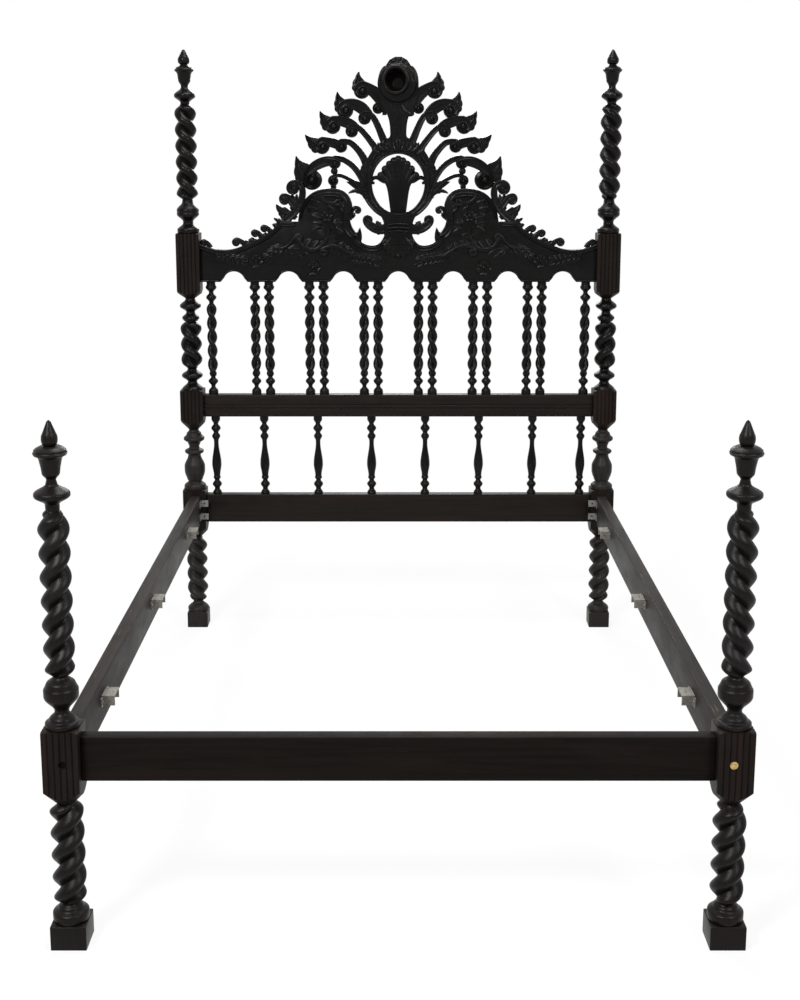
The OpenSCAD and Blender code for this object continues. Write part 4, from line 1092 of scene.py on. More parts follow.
@dataclass(frozen=True)
class Rails:
    """The rails between the posts, with eased edges; the middle rail has two grooves along its face."""

    ease: float = 2.4
    groove: float = 4.5
    groove_shares: tuple[float, float] = (0.53, 0.38)

    def build(self, finishes: Finishes) -> None:
        """Makes the five rails.

        Args:
            finishes: The bed's finishes.
        """
        across, along = 2 * BED.inner_x, 2 * BED.inner_y
        middle_z = BED.rail_z + BED.rail_h / 2
        for node, y, finish in (("foot_rail", -BED.post_y, finishes.cross),
                                ("head_rail", BED.post_y, finishes.dark_cross)):
            slot = "worn_rosewood" if node == "foot_rail" else "turned_rosewood"
            rail = Piece(f"dressed_{node}", slot, node)
            rail.add(self._board((across, BED.rail_t, BED.rail_h)), finish, (0, y, middle_z)).done()
        for side in Side:
            rail = Piece(f"dressed_side_rail_{side.word}", "worn_rosewood", f"side_rail_{side.word}")
            rail.add(self._board((BED.rail_t, along, BED.rail_h)), finishes.long,
                     (side.value * BED.side_x, 0, middle_z)).done()
        body = self._board((across, BED.rail_t, BED.mid_rail_h))
        cuts = []
        for share in self.groove_shares:
            bar = rotated(box((across + 20, self.groove * GROOVE_BAR, self.groove * GROOVE_BAR), (0, 0, 0)), 45, "X")
            cuts.append((moved(bar, (0, -BED.rail_t / 2, (share - 0.5) * BED.mid_rail_h)), Cut.TAKE_AWAY))
        rail = Piece("dressed_middle_rail", "turned_rosewood", "middle_rail")
        rail.add(worked(body, cuts), finishes.dark_cross, (0, BED.post_y, BED.mid_rail_z + BED.mid_rail_h / 2)).done()

    def _board(self, size: Sequence[float]) -> BMesh:
        """Makes a board of a given size, its ends just inside the posts."""
        return box(size, (0, 0, 0), self.ease, 3)


# ---- Carving ----


class Line:
    """A line on the crest's drawing: u runs outwards from the middle, v up from the board's lower edge."""

    def __init__(self, points: Iterable[Sequence[float]]) -> None:
        """Starts from points."""
        self.points = [Vector((p[0], p[1])) for p in points]

    @classmethod
    def bend(cls, *corners: Point, steps: int = 20) -> "Line":
        """A Bezier curve.

        Args:
            corners: Start, two handles and end.
            steps: Steps along it.

        Returns:
            The line.
        """
        a, b, c, d = (Vector(p) for p in corners)
        shares = (k / steps for k in range(steps + 1))
        return cls(a * (1 - t) ** 3 + b * 3 * t * (1 - t) ** 2 + c * 3 * t * t * (1 - t) + d * t ** 3 for t in shares)

    @classmethod
    def bends(cls, *corners: Point, steps: Sequence[int]) -> "Line":
        """Bezier curves in a row, each from where the last one ends.

        Args:
            corners: Start, then two handles and end of each curve.
            steps: Steps along each curve.

        Returns:
            The line.
        """
        line = cls.bend(*corners[:4], steps=steps[0])
        for k, count in enumerate(steps[1:], 1):
            line = line.then(cls.bend(*corners[3 * k:3 * k + 4], steps=count))
        return line

    @classmethod
    def through(cls, *stations: Point, steps: int = 7) -> "Line":
        """A smooth line through points.

        Args:
            stations: The points.
            steps: Steps between two of them.

        Returns:
            The line.
        """
        ends = [Vector(p) for p in (stations[0], *stations, stations[-1])]
        points = []
        for a, b, c, d in zip(ends, ends[1:], ends[2:], ends[3:]):
            for k in range(steps):
                t = k / steps
                points.append(
                    b + (c - a) * 0.5 * t + (2 * a - 5 * b + 4 * c - d) * 0.5 * t * t
                    + (3 * b - a - 3 * c + d) * 0.5 * t ** 3
                )
        return cls([*points, ends[-1]])

    @classmethod
    def arc(cls, middle: Point, radius: Point, start: float, end: float, steps: int = 32) -> "Line":
        """An arc of an ellipse."""
        angles = (math.radians(start + (end - start) * k / steps) for k in range(steps + 1))
        return cls((middle[0] + radius[0] * math.cos(a), middle[1] + radius[1] * math.sin(a)) for a in angles)

    def then(self, other: "Line") -> "Line":
        """This line and another one after it."""
        gap = (other.points[0] - self.points[-1]).length
        return Line(self.points + other.points[1 if gap < 0.5 else 0:])

    def curl(self, eye: Point, turns: float = 1.3, inner: float = 4.0, steps: int = 36) -> "Line":
        """Winds the line's end in towards an eye, the way it already bends.

        Args:
            eye: The middle of the curl.
            turns: How many turns it makes.
            inner: Distance from the eye where it ends.
            steps: Steps along the curl.

        Returns:
            The longer line.
        """
        centre, last = Vector(eye), self.points[-1]
        arm, way = last - centre, last - self.points[-2]
        sense = 1 if arm.x * way.y - arm.y * way.x > 0 else -1
        start, reach = math.atan2(arm.y, arm.x), arm.length
        spiral = []
        for k in range(1, steps + 1):
            t = k / steps
            r, a = reach + (inner - reach) * t ** 0.8, start + sense * 2 * math.pi * turns * t
            spiral.append(centre + Vector((r * math.cos(a), r * math.sin(a))))
        return Line(self.points + spiral)

    def ways(self) -> list[Vector]:
        """Direction of the line at each point."""
        ends = zip([self.points[0], *self.points[:-1]], [*self.points[1:], self.points[-1]])
        return [(after - before).normalized() for before, after in ends]

    def aside(self, shift: float | Sequence[float]) -> "Line":
        """A line beside this one, on its left where the shift is above 0."""
        shifts = [shift] * len(self.points) if isinstance(shift, (int, float)) else shift
        return Line(p + Vector((-way.y, way.x)) * s for p, way, s in zip(self.points, self.ways(), shifts))

    def shares(self) -> list[float]:
        """Measures how far along the line each point lies.

        Returns:
            A share from 0 to 1 for each point.
        """
        done = [0.0]
        for before, after in zip(self.points, self.points[1:]):
            done.append(done[-1] + (after - before).length)
        return [d / done[-1] for d in done]

    def back(self) -> "Line":
        """The line from its other end."""
        return Line(reversed(self.points))

    def mirrored(self) -> "Line":
        """The line on the other side of the crest's middle."""
        return Line((-p.x, p.y) for p in self.points)


@dataclass(frozen=True)
class Band:
    """Width and relief of a carved band, in millimetres from the headboard's plane."""

    start: float
    end: float
    swell: float = 0.0
    back: float = -10.0
    base: float = 4.0
    rise: float = 8.0
    rise_end: float | None = None
    section: Section = MOULDED
    teeth: float = 0.0
    bite: float = 0.3

    def widths(self, shares: Sequence[float]) -> list[float]:
        """Half-widths along the band.

        Args:
            shares: How far along each point lies.

        Returns:
            A half-width for each.
        """
        found = []
        for t in shares:
            width = self.start + (self.end - self.start) * t + self.swell * math.sin(math.pi * t)
            if self.teeth:
                width *= 1 - self.bite * (1 - (self.teeth * t) % 1) * min(1, 4 * t)
            found.append(max(width, 0.6) / 2)
        return found

    def along(self, line: Line) -> BMesh:
        """Carves the band along a line."""
        half = self.widths(line.shares())
        return self.between(line.aside(half), line.aside([-h for h in half]))

    def between(self, left: Line, right: Line) -> BMesh:
        """Carves the band between two lines with as many points.

        Args:
            left: Its left edge.
            right: Its right edge.

        Returns:
            The closed form.
        """
        rows = []
        last = self.rise if self.rise_end is None else self.rise_end
        for a, b, t in zip(left.points, right.points, left.shares()):
            rise = self.rise + (last - self.rise) * t
            across = [(-1.0, None), *self.section.value, (1.0, None)]
            rows.append([
                Crest.spot(a.lerp(b, 0.5 + share / 2), self.back if depth is None else self.base + rise * depth)
                for share, depth in across
            ])
        return skinned(rows)


def way_out(degrees: float) -> Vector:
    """Direction on the crest's drawing, 0 being straight up and 90 outwards."""
    a = math.radians(degrees)
    return Vector((math.sin(a), math.cos(a)))


@dataclass(frozen=True)
class Hook:
    """A carved rib that swings over a volute and winds round its eye."""

    eye: Point
    stations: tuple[Point, ...]
    widths: tuple[float, float, float]
    size: float = 20.0
    face: float = 3.0
    turns: float = 1.2
    winding: int = 14

    def spine(self) -> tuple[Line, list[float]]:
        """Follows the rib's middle from its root over the volute and down its outer side.

        Returns:
            The line, and the rib's half-width at each of its points.
        """
        first, middle, last = self.widths
        rise = Line.through(*self.stations)
        half = [(first * (1 - t) * (1 - 2 * t) + 4 * middle * t * (1 - t) + last * t * (2 * t - 1)) / 2
                for t in rise.shares()]
        half += [last * (1 - 0.45 * k / self.winding) / 2 for k in range(1, self.winding + 1)]
        return rise.curl(self.eye, 0.36, 0.66 * self.size, self.winding), half

    def forms(self) -> list[BMesh]:
        """Carves the rib, its beaded edges, the volute's disc and its boss.

        Returns:
            The closed forms.
        """
        line, half = self.spine()
        face, size, last = self.face, self.size, len(half) - self.winding
        body = Band(0, 0, back=-10.5, base=face, rise=6, section=SCOOPED)
        bead = Band(0.3 * self.widths[2], 0.2 * size, back=face - 4, base=face + 2, rise=6, section=ROUND)
        thin = Band(4.4, 3.4, back=face - 4, base=face + 2, rise=3.6, section=ROUND)
        over = line.aside([h - 0.14 * self.widths[2] for h in half])
        rim = Line(over.points[:last]).curl(self.eye, self.turns, 0.5 * size, 40)
        inner = Line(line.aside([2.4 - h for h in half]).points[:last - 5])
        disc = moved(rotated(spun([(size - 1, -10), (size - 1, face - 1), (size - 4, face + 1.5)], 40), 90, "X"),
                     Crest.spot(self.eye, 0))
        boss = dome(Crest.spot(self.eye, face + 2), 0.42 * size, (1, 1.05, 1))
        return [body.between(line.aside(half), line.aside([-h for h in half])), bead.along(rim), thin.along(inner),
                disc, boss]


@dataclass(frozen=True)
class Flame:
    """A leaf that flames up to a tip, lobed along its outer side."""

    left: Line
    right: Line
    lobes: float = 3.0
    depth: float = 3.2
    face: float = 1.0
    rise: float = 8.0
    back: float = -8.5
    veins: tuple[float, ...] = (0.36, 0.7)

    @classmethod
    def tip(cls, eye: Sequence[float], size: float, lean: float, length: float) -> "Flame":
        """The leaf on a volute's outer side.

        Args:
            eye: The volute's eye.
            size: The volute's radius.
            lean: The leaf's lean outwards, in degrees.
            length: Distance from the eye to the leaf's tip.

        Returns:
            The leaf.
        """
        eye, blunt = Vector(eye), 2.6 * way_out(lean + 90)
        tip = eye + length * way_out(lean)
        low, high = eye + 1.2 * size * way_out(lean + 80), eye + 1.5 * size * way_out(lean - 26)
        outer = Line.bend(low, low + 0.4 * length * way_out(lean + 34),
                          tip + blunt - 0.3 * length * way_out(lean - 30), tip + blunt, steps=36)
        inner = Line.bend(high, high + 0.2 * length * way_out(lean + 22),
                          tip - blunt - 0.32 * length * way_out(lean - 2), tip - blunt, steps=36)
        return cls(inner, outer)

    def forms(self) -> list[BMesh]:
        """Carves the leaf and its veins.

        Returns:
            The closed forms.
        """
        shares = self.right.shares()
        waves = [-self.depth * abs(math.sin(math.pi * self.lobes * t)) * (1 - t) ** 0.4 for t in shares]
        right = self.right.aside(waves)
        leaf = Band(0, 0, back=self.back, base=self.face, rise=self.rise, rise_end=3, section=LEAF)
        vein = Band(3.4, 1.2, back=self.face, base=self.face + 3.5, rise=5, rise_end=1, section=ROUND)
        forms = [leaf.between(self.left, right)]
        for share in self.veins:
            line = Line(a.lerp(b, share) for a, b in zip(self.left.points[1:-2], right.points[1:-2]))
            forms.append(vein.along(line))
        return forms


class Crest:
    """The carved crest between the head posts, drawn on one side and mirrored."""

    front = 13.0
    oval_v = 330.0
    oval = (88.0, 99.0)
    mouth_v = 658.0
    arch_r = 38.0
    arch_foot = 46.0
    arch_top = 13.0

    def __init__(self, finishes: Finishes) -> None:
        """Starts the two pieces of the crest.

        Args:
            finishes: The bed's finishes.
        """
        slot, finish = "carved_rosewood", finishes.carved
        self.board = Piece("dressed_crest_board", slot, "crest_board", "crest_dowels", finish=finish)
        self.openwork = Piece("dressed_crest_openwork", slot, "crest_openwork", finish=finish)

    @staticmethod
    def spot(at: Sequence[float], forward: float) -> Vector:
        """Where a point of the drawing lies on the bed."""
        return Vector((at[0], BED.post_y - forward, BED.crest_z + at[1]))

    def build(self) -> None:
        """Makes the whole crest."""
        self._lobe()
        self._board_edge()
        self._board_relief()
        self._opening()
        self._oval()
        self._fan()
        self._border()
        self.board.mirrored()
        self.openwork.mirrored()
        self._planks()
        self._palmette()
        self._trunk()
        self._pedestal()
        self.board.done(50)
        self.openwork.done(50)

    def _flat(self, outline: Line, back: float, front: float, ease: float = 2.0) -> BMesh:
        """Makes a plate with an eased front edge from an outline.

        Args:
            outline: The closed outline, whose last point isn't repeated.
            back: Its back.
            front: Its front.
            ease: Width of the eased edge.

        Returns:
            The closed form.
        """
        form = bmesh.new()
        verts = [form.verts.new(self.spot(p, back)) for p in outline.points]
        edges = [form.edges.new(pair) for pair in zip(verts, [*verts[1:], verts[0]])]
        face = bmesh.ops.contextual_create(form, geom=verts + edges)["faces"]
        raised = bmesh.ops.extrude_face_region(form, geom=face, use_keep_orig=True)["geom"]
        corners = [part for part in raised if isinstance(part, BMVert)]
        bmesh.ops.translate(form, verts=corners, vec=(0, back - front, 0))
        rim = [part for part in raised if isinstance(part, BMEdge)]
        bmesh.ops.recalc_face_normals(form, faces=form.faces[:])
        bmesh.ops.bevel(form, geom=rim, offset=ease, segments=3, profile=0.5, affect="EDGES", material=-1,
                        clamp_overlap=True)
        return form

    def _lower_edge(self) -> Line:
        """The board's lower edge from the middle to the post, round its arches.

        Returns:
            The edge.
        """
        rise = math.degrees(math.asin((self.arch_top + 2) / self.arch_r))
        line = Line.arc((0, -2), (self.arch_r, self.arch_r), 90, rise, 12)
        for k in range(1, 4):
            u = k * BED.arch_pitch
            line = line.then(Line([(u - BED.arch_pitch + self.arch_foot, 0), (u - self.arch_foot, 0)]))
            line = line.then(Line.arc((u, -2), (self.arch_r, self.arch_r), 180 - rise, rise, 24))
        return line.then(Line([(3 * BED.arch_pitch + self.arch_foot, 0), (BED.inner_x, 0)]))

    def _shoulder(self) -> Line:
        """The board's upper edge from the post to the lobe's plateau."""
        line = Line([(BED.inner_x, 128)]).then(Line.bend((670, 128), (621, 108), (590, 102), (548, 114)))
        return line.then(Line.bend((548, 114), (490, 136), (432, 160), (398, 205)))

    @staticmethod
    def _lobe_edge() -> Line:
        """The lobe's edge from the plateau over the top to the round opening."""
        return Line.bends((338, 205), (332, 270), (304, 317), (217, 316), (180, 315), (156, 290), (156, 251),
                          (166, 210), (166, 190), (138, 161), steps=(20, 20, 20))

    @staticmethod
    def _opening_edge() -> Line:
        """The round opening's edge from the lobe to the pedestal."""
        line = Line.arc((86, 161), (52, 37), 0, -90, 16).then(Line.arc((86, 161), (38, 37), -90, -180, 16))
        return line.then(Line.bend((48, 172), (46, 195), (50, 212), (66, 232)))

    def _planks(self) -> None:
        """Cuts the two planks to their outline, joined on the plateau's line."""
        joint = BED.joint_v
        half = self._lower_edge().then(self._shoulder()).then(self._lobe_edge())
        half = half.then(self._opening_edge()).then(Line([(66, 232)]))
        whole = half.then(half.mirrored().back())
        if (whole.points[0] - whole.points[-1]).length < 0.5:
            whole.points.pop()
        plate = self._flat(whole, -15, self.front)
        bed_w = 2 * BED.post_x
        for piece, low, high in ((self.board, -10.0, joint), (self.openwork, joint, 400.0)):
            half_space = box((bed_w, 80, high - low), self.spot((0, (low + high) / 2), 0))
            piece.add(worked(plate.copy(), [(half_space, Cut.KEEP_COMMON)]))
        plate.free()

    def _put(self, piece: Piece, forms: Iterable[BMesh]) -> None:
        """Adds carved forms to a piece."""
        for form in forms:
            piece.add(form)

    def _relief(self, piece: Piece, line: Line, start: float, end: float, rise: float = 6.0, **more: Any) -> None:
        """Carves a raised band on the plank's face."""
        settings = {"section": ROUND, "back": self.front - 3, "base": self.front + 0.5, "rise": rise, **more}
        piece.add(Band(start, end, **settings).along(line))

    def _bead(self, piece: Piece, at: Sequence[float], radius: float, forward: float, flat: float = 0.6) -> None:
        """Carves a rounded boss."""
        piece.add(dome(self.spot(at, forward), radius, (1, flat, 1)))

    def _leaf(self, piece: Piece, start: Point, first: Point, second: Point, tip: Point, width: float = 14,
              proud: bool = True) -> None:
        """Carves a lobed leaf with a rib down its middle.

        Args:
            piece: The piece that gets it.
            start: Where it begins.
            first: The handle of its start.
            second: The handle of its tip.
            tip: Its tip.
            width: Its widest.
            proud: Whether it lies on the plank's face, or else stands free.
        """
        line = Line.bend(start, first, second, tip, steps=17)
        back, base = (self.front - 3, self.front + 2) if proud else (-8.5, 3.0)
        blunt, bite = (0.34 * width, 0.2) if proud else (3, 0.34)
        leaf = Band(0.5 * width, blunt, 1.15 * width, back=back, base=base, rise=6, rise_end=2.5, section=LEAF,
                    teeth=3, bite=bite)
        piece.add(leaf.along(line))
        vein = Band(0.24 * width, 1.2, back=base + 2, base=base + 4, rise=4.5, rise_end=1, section=ROUND)
        piece.add(vein.along(Line(line.points[:-2])))

    def _leaves(self, piece: Piece, lift: Point, reach: Point, width: float, pairs: Iterable[tuple[Point, Point]],
                proud: bool = True) -> None:
        """Carves leaves that bend alike.

        Args:
            piece: The piece that gets them.
            lift: The handle of each start, seen from there.
            reach: The handle of each tip, seen from there.
            width: Their widest.
            pairs: Start and tip of each.
            proud: Whether they lie on the plank's face, or else stand free.
        """
        for start, tip in pairs:
            first, second = (start[0] + lift[0], start[1] + lift[1]), (tip[0] + reach[0], tip[1] + reach[1])
            self._leaf(piece, start, first, second, tip, width, proud)

    def _spiral(self, piece: Piece, line: Line, eye: Point, band: Band, turns: float, inner: float,
                boss: float) -> None:
        """Carves a scroll that winds into its eye."""
        piece.add(band.along(line.curl(eye, turns, inner, 28)))
        self._bead(piece, eye, boss, band.base + 2, 0.9)

    def _rosette(self, at: Point, radius: float, petals: int = 6) -> None:
        """Carves a flower on the board.

        Args:
            at: Its middle.
            radius: Its radius.
            petals: How many petals it has.
        """
        for k in range(petals):
            way = way_out(360 * (k + 0.5) / petals)
            line = Line([Vector(at) + way * radius * share for share in (0.15, 0.35, 0.55, 0.75, 0.9, 1.0)])
            self._relief(self.board, line, 0.5 * radius, 0.42 * radius, 6.5, swell=0.6 * radius, section=SCOOPED)
        ring = Line.arc(at, (0.38 * radius, 0.38 * radius), 0, 360, 24)
        self._relief(self.board, ring, 3.4, 3.4, 7.5)
        self._bead(self.board, at, 0.26 * radius, self.front + 4, 0.9)

    def _garland(self, line: Line, width: float, leaves: int) -> None:
        """Carves a chain of overlapping leaves on the board.

        Args:
            line: Its middle.
            width: Its width.
            leaves: How many leaves it has on each side.
        """
        self._relief(self.board, line, 0.4 * width, 0.3 * width, 5)
        ways = line.ways()
        for k in range(leaves):
            at = round((k + 0.15) / leaves * (len(line.points) - 4))
            p, way = line.points[at], ways[at]
            aside = Vector((-way.y, way.x))
            length = 1.7 * width * (1 - 0.3 * k / leaves)
            for sense in (-1, 1):
                tip = p + way * length + aside * sense * 0.62 * width
                first, second = p + aside * sense * 0.5 * width, tip - way * 0.45 * length
                self._leaf(self.board, tuple(p), tuple(first), tuple(second), tuple(tip), 0.8 * width)

    def _board_edge(self) -> None:
        """Carves the roll along the board's upper edge, its curls, and the bead round the arches."""
        edge = self._shoulder().aside(7)
        corner = Line([(392, 196), (372, 195), (350, 196)])
        self._relief(self.board, Line(edge.points[1:-1]).then(corner), 16, 14, 8, section=MOULDED)
        self._relief(self.board, self._lower_edge().aside(4.5), 4.5, 4.5, 3.5)
        free = Band(21, 8, back=-9, base=3, rise=7, section=ROUND)
        for start, first, second, end, eye in (
            ((424, 158), (432, 172), (450, 196), (460, 183), (451, 180)),
            ((456, 142), (466, 158), (482, 180), (492, 167), (482, 164)),
            ((512, 120), (524, 132), (548, 154), (557, 136), (547, 133)),
        ):
            self._spiral(self.board, Line.bend(start, first, second, end, steps=12), eye, free, 0.85, 3.5, 5)
        self._leaves(self.board, (0, 12), (-8, -2), 17, (
            ((404, 176), (426, 194)), ((440, 148), (462, 158)), ((484, 130), (508, 142)), ((500, 122), (530, 130)),
        ), False)
        line = Line.bend((638, 116), (642, 134), (662, 146), (667, 131), steps=12)
        self._spiral(self.board, line, (659, 129), Band(18, 8, back=-9, base=3, rise=6, section=ROUND), 0.8, 3, 5)

    def _board_relief(self) -> None:
        """Carves the scrolls, leaves and flowers on the board's face."""
        self._garland(Line.bend((618, 84), (585, 94), (540, 64), (506, 72), steps=28), 19, 6)
        self._rosette((481, 72), 24)
        self._garland(Line.bend((386, 108), (414, 110), (434, 96), (454, 66), steps=24), 19, 4)
        for tip, first in (((304, 92), (330, 120)), ((322, 80), (346, 106)), ((344, 74), (356, 98)),
                           ((366, 78), (372, 98))):
            self._leaf(self.board, (372, 112), first, (tip[0] + 10, tip[1] + 12), tip, 21)
        scroll = Line.bends((424, 118), (400, 112), (378, 112), (356, 144), (348, 158), (334, 166), (327, 152),
                            steps=(18, 10))
        band = Band(10, 15, back=10, base=13, rise=9, section=ROUND)
        self._spiral(self.board, scroll, (337, 150), band, 0.75, 4, 6)
        scroll = Line.bends((336, 144), (322, 104), (282, 98), (256, 128), (244, 142), (236, 160), (238, 182),
                            steps=(20, 14))
        self._relief(self.board, scroll, 15, 19, 9, section=ROUND)
        self._leaves(self.board, (-6, 10), (6, -6), 22, (
            ((310, 116), (292, 146)), ((288, 110), (268, 140)), ((262, 126), (226, 130)), ((248, 144), (212, 158)),
            ((244, 150), (274, 172)),
        ))
        scroll = Line.bends((150, 86), (178, 104), (206, 128), (236, 121), (256, 117), (266, 108), (262, 96),
                            steps=(20, 10))
        band = Band(16, 13, back=10, base=13, rise=9, section=ROUND)
        self._spiral(self.board, scroll, (251, 102), band, 0.85, 4, 6)
        self._garland(Line.bend((164, 92), (134, 72), (100, 82), (54, 58), steps=28), 21, 6)
        self._leaves(self.board, (-4, -12), (-6, 8), 24, (
            ((204, 116), (192, 82)), ((222, 120), (220, 94)), ((184, 106), (166, 66)), ((166, 94), (150, 50)),
        ))
        self._leaves(self.board, (-8, 6), (6, -6), 18, (
            ((222, 122), (216, 146)), ((196, 112), (184, 136)), ((176, 100), (164, 122)),
        ))
        self._rosette((289, 49), 26)

    def _lobe(self) -> None:
        """Carves the lobe's rolled edge, its inner scroll, leaves and flower."""
        edge = Line([p for p in self._lobe_edge().points if p.y > BED.joint_v + 1])
        self._relief(self.openwork, edge.aside([5 + 8 * t for t in edge.shares()]), 9, 24, 9, section=MOULDED)
        inner = Line.bends((300, 240), (304, 286), (250, 300), (222, 296), (186, 296), (160, 276), (164, 252),
                           steps=(20, 14))
        band = Band(14, 20, back=10, base=13, rise=9, section=MOULDED)
        self._spiral(self.openwork, inner, (180, 255), band, 0.95, 5, 6)
        scroll = Line.bend((262, 290), (244, 262), (220, 258), (200, 280), steps=14)
        band = Band(15, 11, back=10, base=13, rise=8, section=ROUND)
        self._spiral(self.openwork, scroll, (208, 268), band, 0.8, 3.5, 5)
        self._leaves(self.openwork, (-6, 3), (8, 4), 25, (
            ((302, 252), (272, 246)), ((292, 276), (262, 266)), ((232, 252), (212, 238)), ((262, 214), (288, 222)),
        ))
        for k in range(5):
            way = way_out(72 * k + 70)
            petal = Line([Vector((239, 224)) + way * share for share in (3, 7, 11, 15, 18, 20)])
            self._relief(self.openwork, petal, 11, 9, 7, swell=11, section=SCOOPED)
        self._bead(self.openwork, (239, 224), 7.5, self.front + 5, 0.9)
        self._leaves(self.board, (0, 8), (0, -8), 21, (
            ((262, 196), (290, 204)), ((270, 184), (292, 176)), ((214, 196), (192, 204)), ((206, 180), (184, 170)),
        ))

    def _opening(self) -> None:
        """Carves the round opening's thick edge, the leaf in it and the hooks beside the pedestal."""
        low = Line.bend((163, 204), (168, 184), (160, 172), (138, 158),
                        steps=14).then(Line.arc((86, 161), (52, 37), 0, -90, 16))
        low = low.then(Line.arc((86, 161), (38, 37), -90, -150, 10))
        self._relief(self.board, low.aside(11.5), 24, 14, 10, back=-12.0, base=8, section=MOULDED)
        left = Line.bend((128, 130), (120, 146), (122, 162), (129, 184), steps=30)
        right = Line.bend((158, 150), (152, 160), (140, 158), (129, 184), steps=30)
        self._put(self.board, Flame(left, right, 3, 3, face=3).forms())
        hook = Line.bends((38, 184), (56, 172), (78, 178), (94, 190), (106, 198), (114, 212), (103, 216),
                          steps=(18, 10))
        self.board.add(Band(34, 12, 6, -9, 3, 8, section=MOULDED).along(hook.curl((103, 206), 0.75, 4, 14)))
        self._bead(self.board, (103, 206), 5, 6, 0.9)
        self._leaves(self.board, (6, -2), (-6, 0), 19, (
            ((56, 180), (72, 162)), ((68, 182), (88, 172)), ((78, 186), (98, 184)), ((60, 186), (76, 204)),
        ), False)
        hook = Line.bend((164, 210), (158, 236), (154, 256), (136, 250), steps=14)
        self._spiral(self.openwork, hook, (138, 240), Band(15, 8, 2, -9, 3, 8, section=ROUND), 0.8, 3.5, 5)
        self._leaf(self.openwork, (158, 214), (150, 222), (150, 226), (146, 234), 9, False)

    def _oval(self) -> None:
        """Carves the oval frame and the collar of leaves that carries the ribs."""
        middle, (a, b) = (0, self.oval_v), self.oval
        inner, outer = Line.arc(middle, (a, b), -92, 92, 64), Line.arc(middle, (a + 17, b + 17), -92, 92, 64)
        self.openwork.add(Band(0, 0, back=-14, base=5, rise=7, section=MOULDED).between(outer, inner))
        bead = Line.arc(middle, (a + 3.5, b + 3.5), -92, 92, 64)
        self.openwork.add(Band(6, 6, back=4, base=9, rise=6, section=ROUND).along(bead))
        angles = [math.radians(-20 + 112 * k / 48) for k in range(49)]
        grow = [math.sin(min(1.0, k / 16) * math.pi / 2) for k in range(49)]
        rim = Line(((a + 13 + 21 * g) * math.cos(t), self.oval_v + (b + 13 + 46 * g) * math.sin(t))
                   for t, g in zip(angles, grow))
        lip = Line(((a + 10) * math.cos(t), self.oval_v + (b + 10) * math.sin(t)) for t in angles)
        self.openwork.add(Band(0, 0, back=-10.5, base=3, rise=5, section=SCOOPED).between(rim, lip))
        for reach, low, high in ((13, -8, 30), (17, 8, 46), (20, 24, 62), (24, 40, 76)):
            strand = Line(((a + reach + 5 * k / 16) * math.cos(t),
                           self.oval_v + (b + reach + 18 * k / 16) * math.sin(t))
                          for k, t in ((k, math.radians(low + (high - low) * k / 16)) for k in range(17)))
            self.openwork.add(Band(4, 6.5, 1.5, 2, 6, 5, section=ROUND).along(strand))
        stem = Line.bend((38, 220), (66, 232), (92, 256), (118, 300), steps=24)
        self.openwork.add(Band(16, 12, 6, -11, 4, 8, section=MOULDED).along(stem))
        self._leaf(self.openwork, (84, 262), (104, 290), (134, 322), (174, 337), 20, False)
        self._leaf(self.openwork, (100, 282), (122, 312), (146, 312), (168, 298), 15, False)
        self._leaf(self.openwork, (104, 296), (118, 318), (130, 336), (150, 338), 12, False)
        self._leaf(self.openwork, (112, 350), (122, 362), (124, 376), (120, 392), 11, False)

    def _fan(self) -> None:
        """Carves the ribs, volutes and leaf tips of the pierced fan."""
        ribs = (
            Hook((67, 577), ((46, 556), (47, 576), (56, 591), (68, 592.5)), (14, 15, 13), 18),
            Hook((111, 544), ((36, 446), (50, 477), (66, 516), (82, 547), (95, 558), (111, 561)), (28, 23, 20)),
            Hook((154, 502), ((60, 425), (81, 455), (102, 483), (121, 505), (136, 516), (152, 519)), (26, 21, 20)),
            Hook((190, 452), ((98, 366), (115, 413), (136, 444), (157, 464), (173, 469), (190, 469)), (30, 23, 20)),
            Hook((212, 398), ((108, 300), (120, 338), (134, 365), (153, 389), (182, 409), (209, 415)), (18, 20, 19)),
            Hook((218, 339), ((108, 288), (132, 322), (156, 340), (183, 354), (201, 358), (217, 354)), (12, 13, 13),
                 17),
        )
        hooks = (
            (Hook((119, 634), ((40, 590), (73, 625), (96, 642), (119, 656)), (44, 41, 26), 25, 4), 11, 64),
            (Hook((174, 571), ((92, 546), (119, 577), (148, 592), (174, 596)), (30, 40, 26), 25, 4), 25, 67),
            (Hook((216, 519), ((136, 508), (161, 527), (190, 537), (216, 542)), (30, 36, 25), 24, 4), 42, 67),
            (Hook((252, 452), ((188, 452), (212, 463), (232, 468), (253, 474)), (28, 32, 24), 23, 4), 56, 71),
        )
        for rib in ribs:
            self._put(self.openwork, rib.forms())
        for hook, lean, length in hooks:
            self._put(self.openwork, hook.forms())
            self._put(self.openwork, Flame.tip(hook.eye, 22, lean, length).forms())
        for at, radius in (((215, 372), 12), ((218, 339), 17), ((218, 320), 10)):
            self._bead(self.openwork, at, radius, -2, 0.5)
        stem = Line.through((196, 398), (222, 405), (250, 402), (280, 388), (303, 366), (312, 342))
        body = Band(26, 18, 13, back=-10.5, base=4, rise=6, section=SCOOPED)
        self.openwork.add(body.along(stem))
        eye = Vector((290, 343))
        disc = moved(rotated(spun([(34, -10), (34, 1), (30, 4)], 48), 90, "X"), self.spot(eye, 0))
        self.openwork.add(disc)
        half = [(26 - 8 * t + 13 * math.sin(math.pi * t)) / 2 - 5 for t in stem.shares()]
        band = Band(11, 8, back=2, base=6, rise=7, section=MOULDED)
        self._spiral(self.openwork, stem.aside(half), tuple(eye), band, 1.45, 11, 10)
        rim = Line(stem.aside([-h - 2.6 for h in half]).points[:26])
        self.openwork.add(Band(5, 4, back=2, base=6, rise=5, section=ROUND).along(rim))
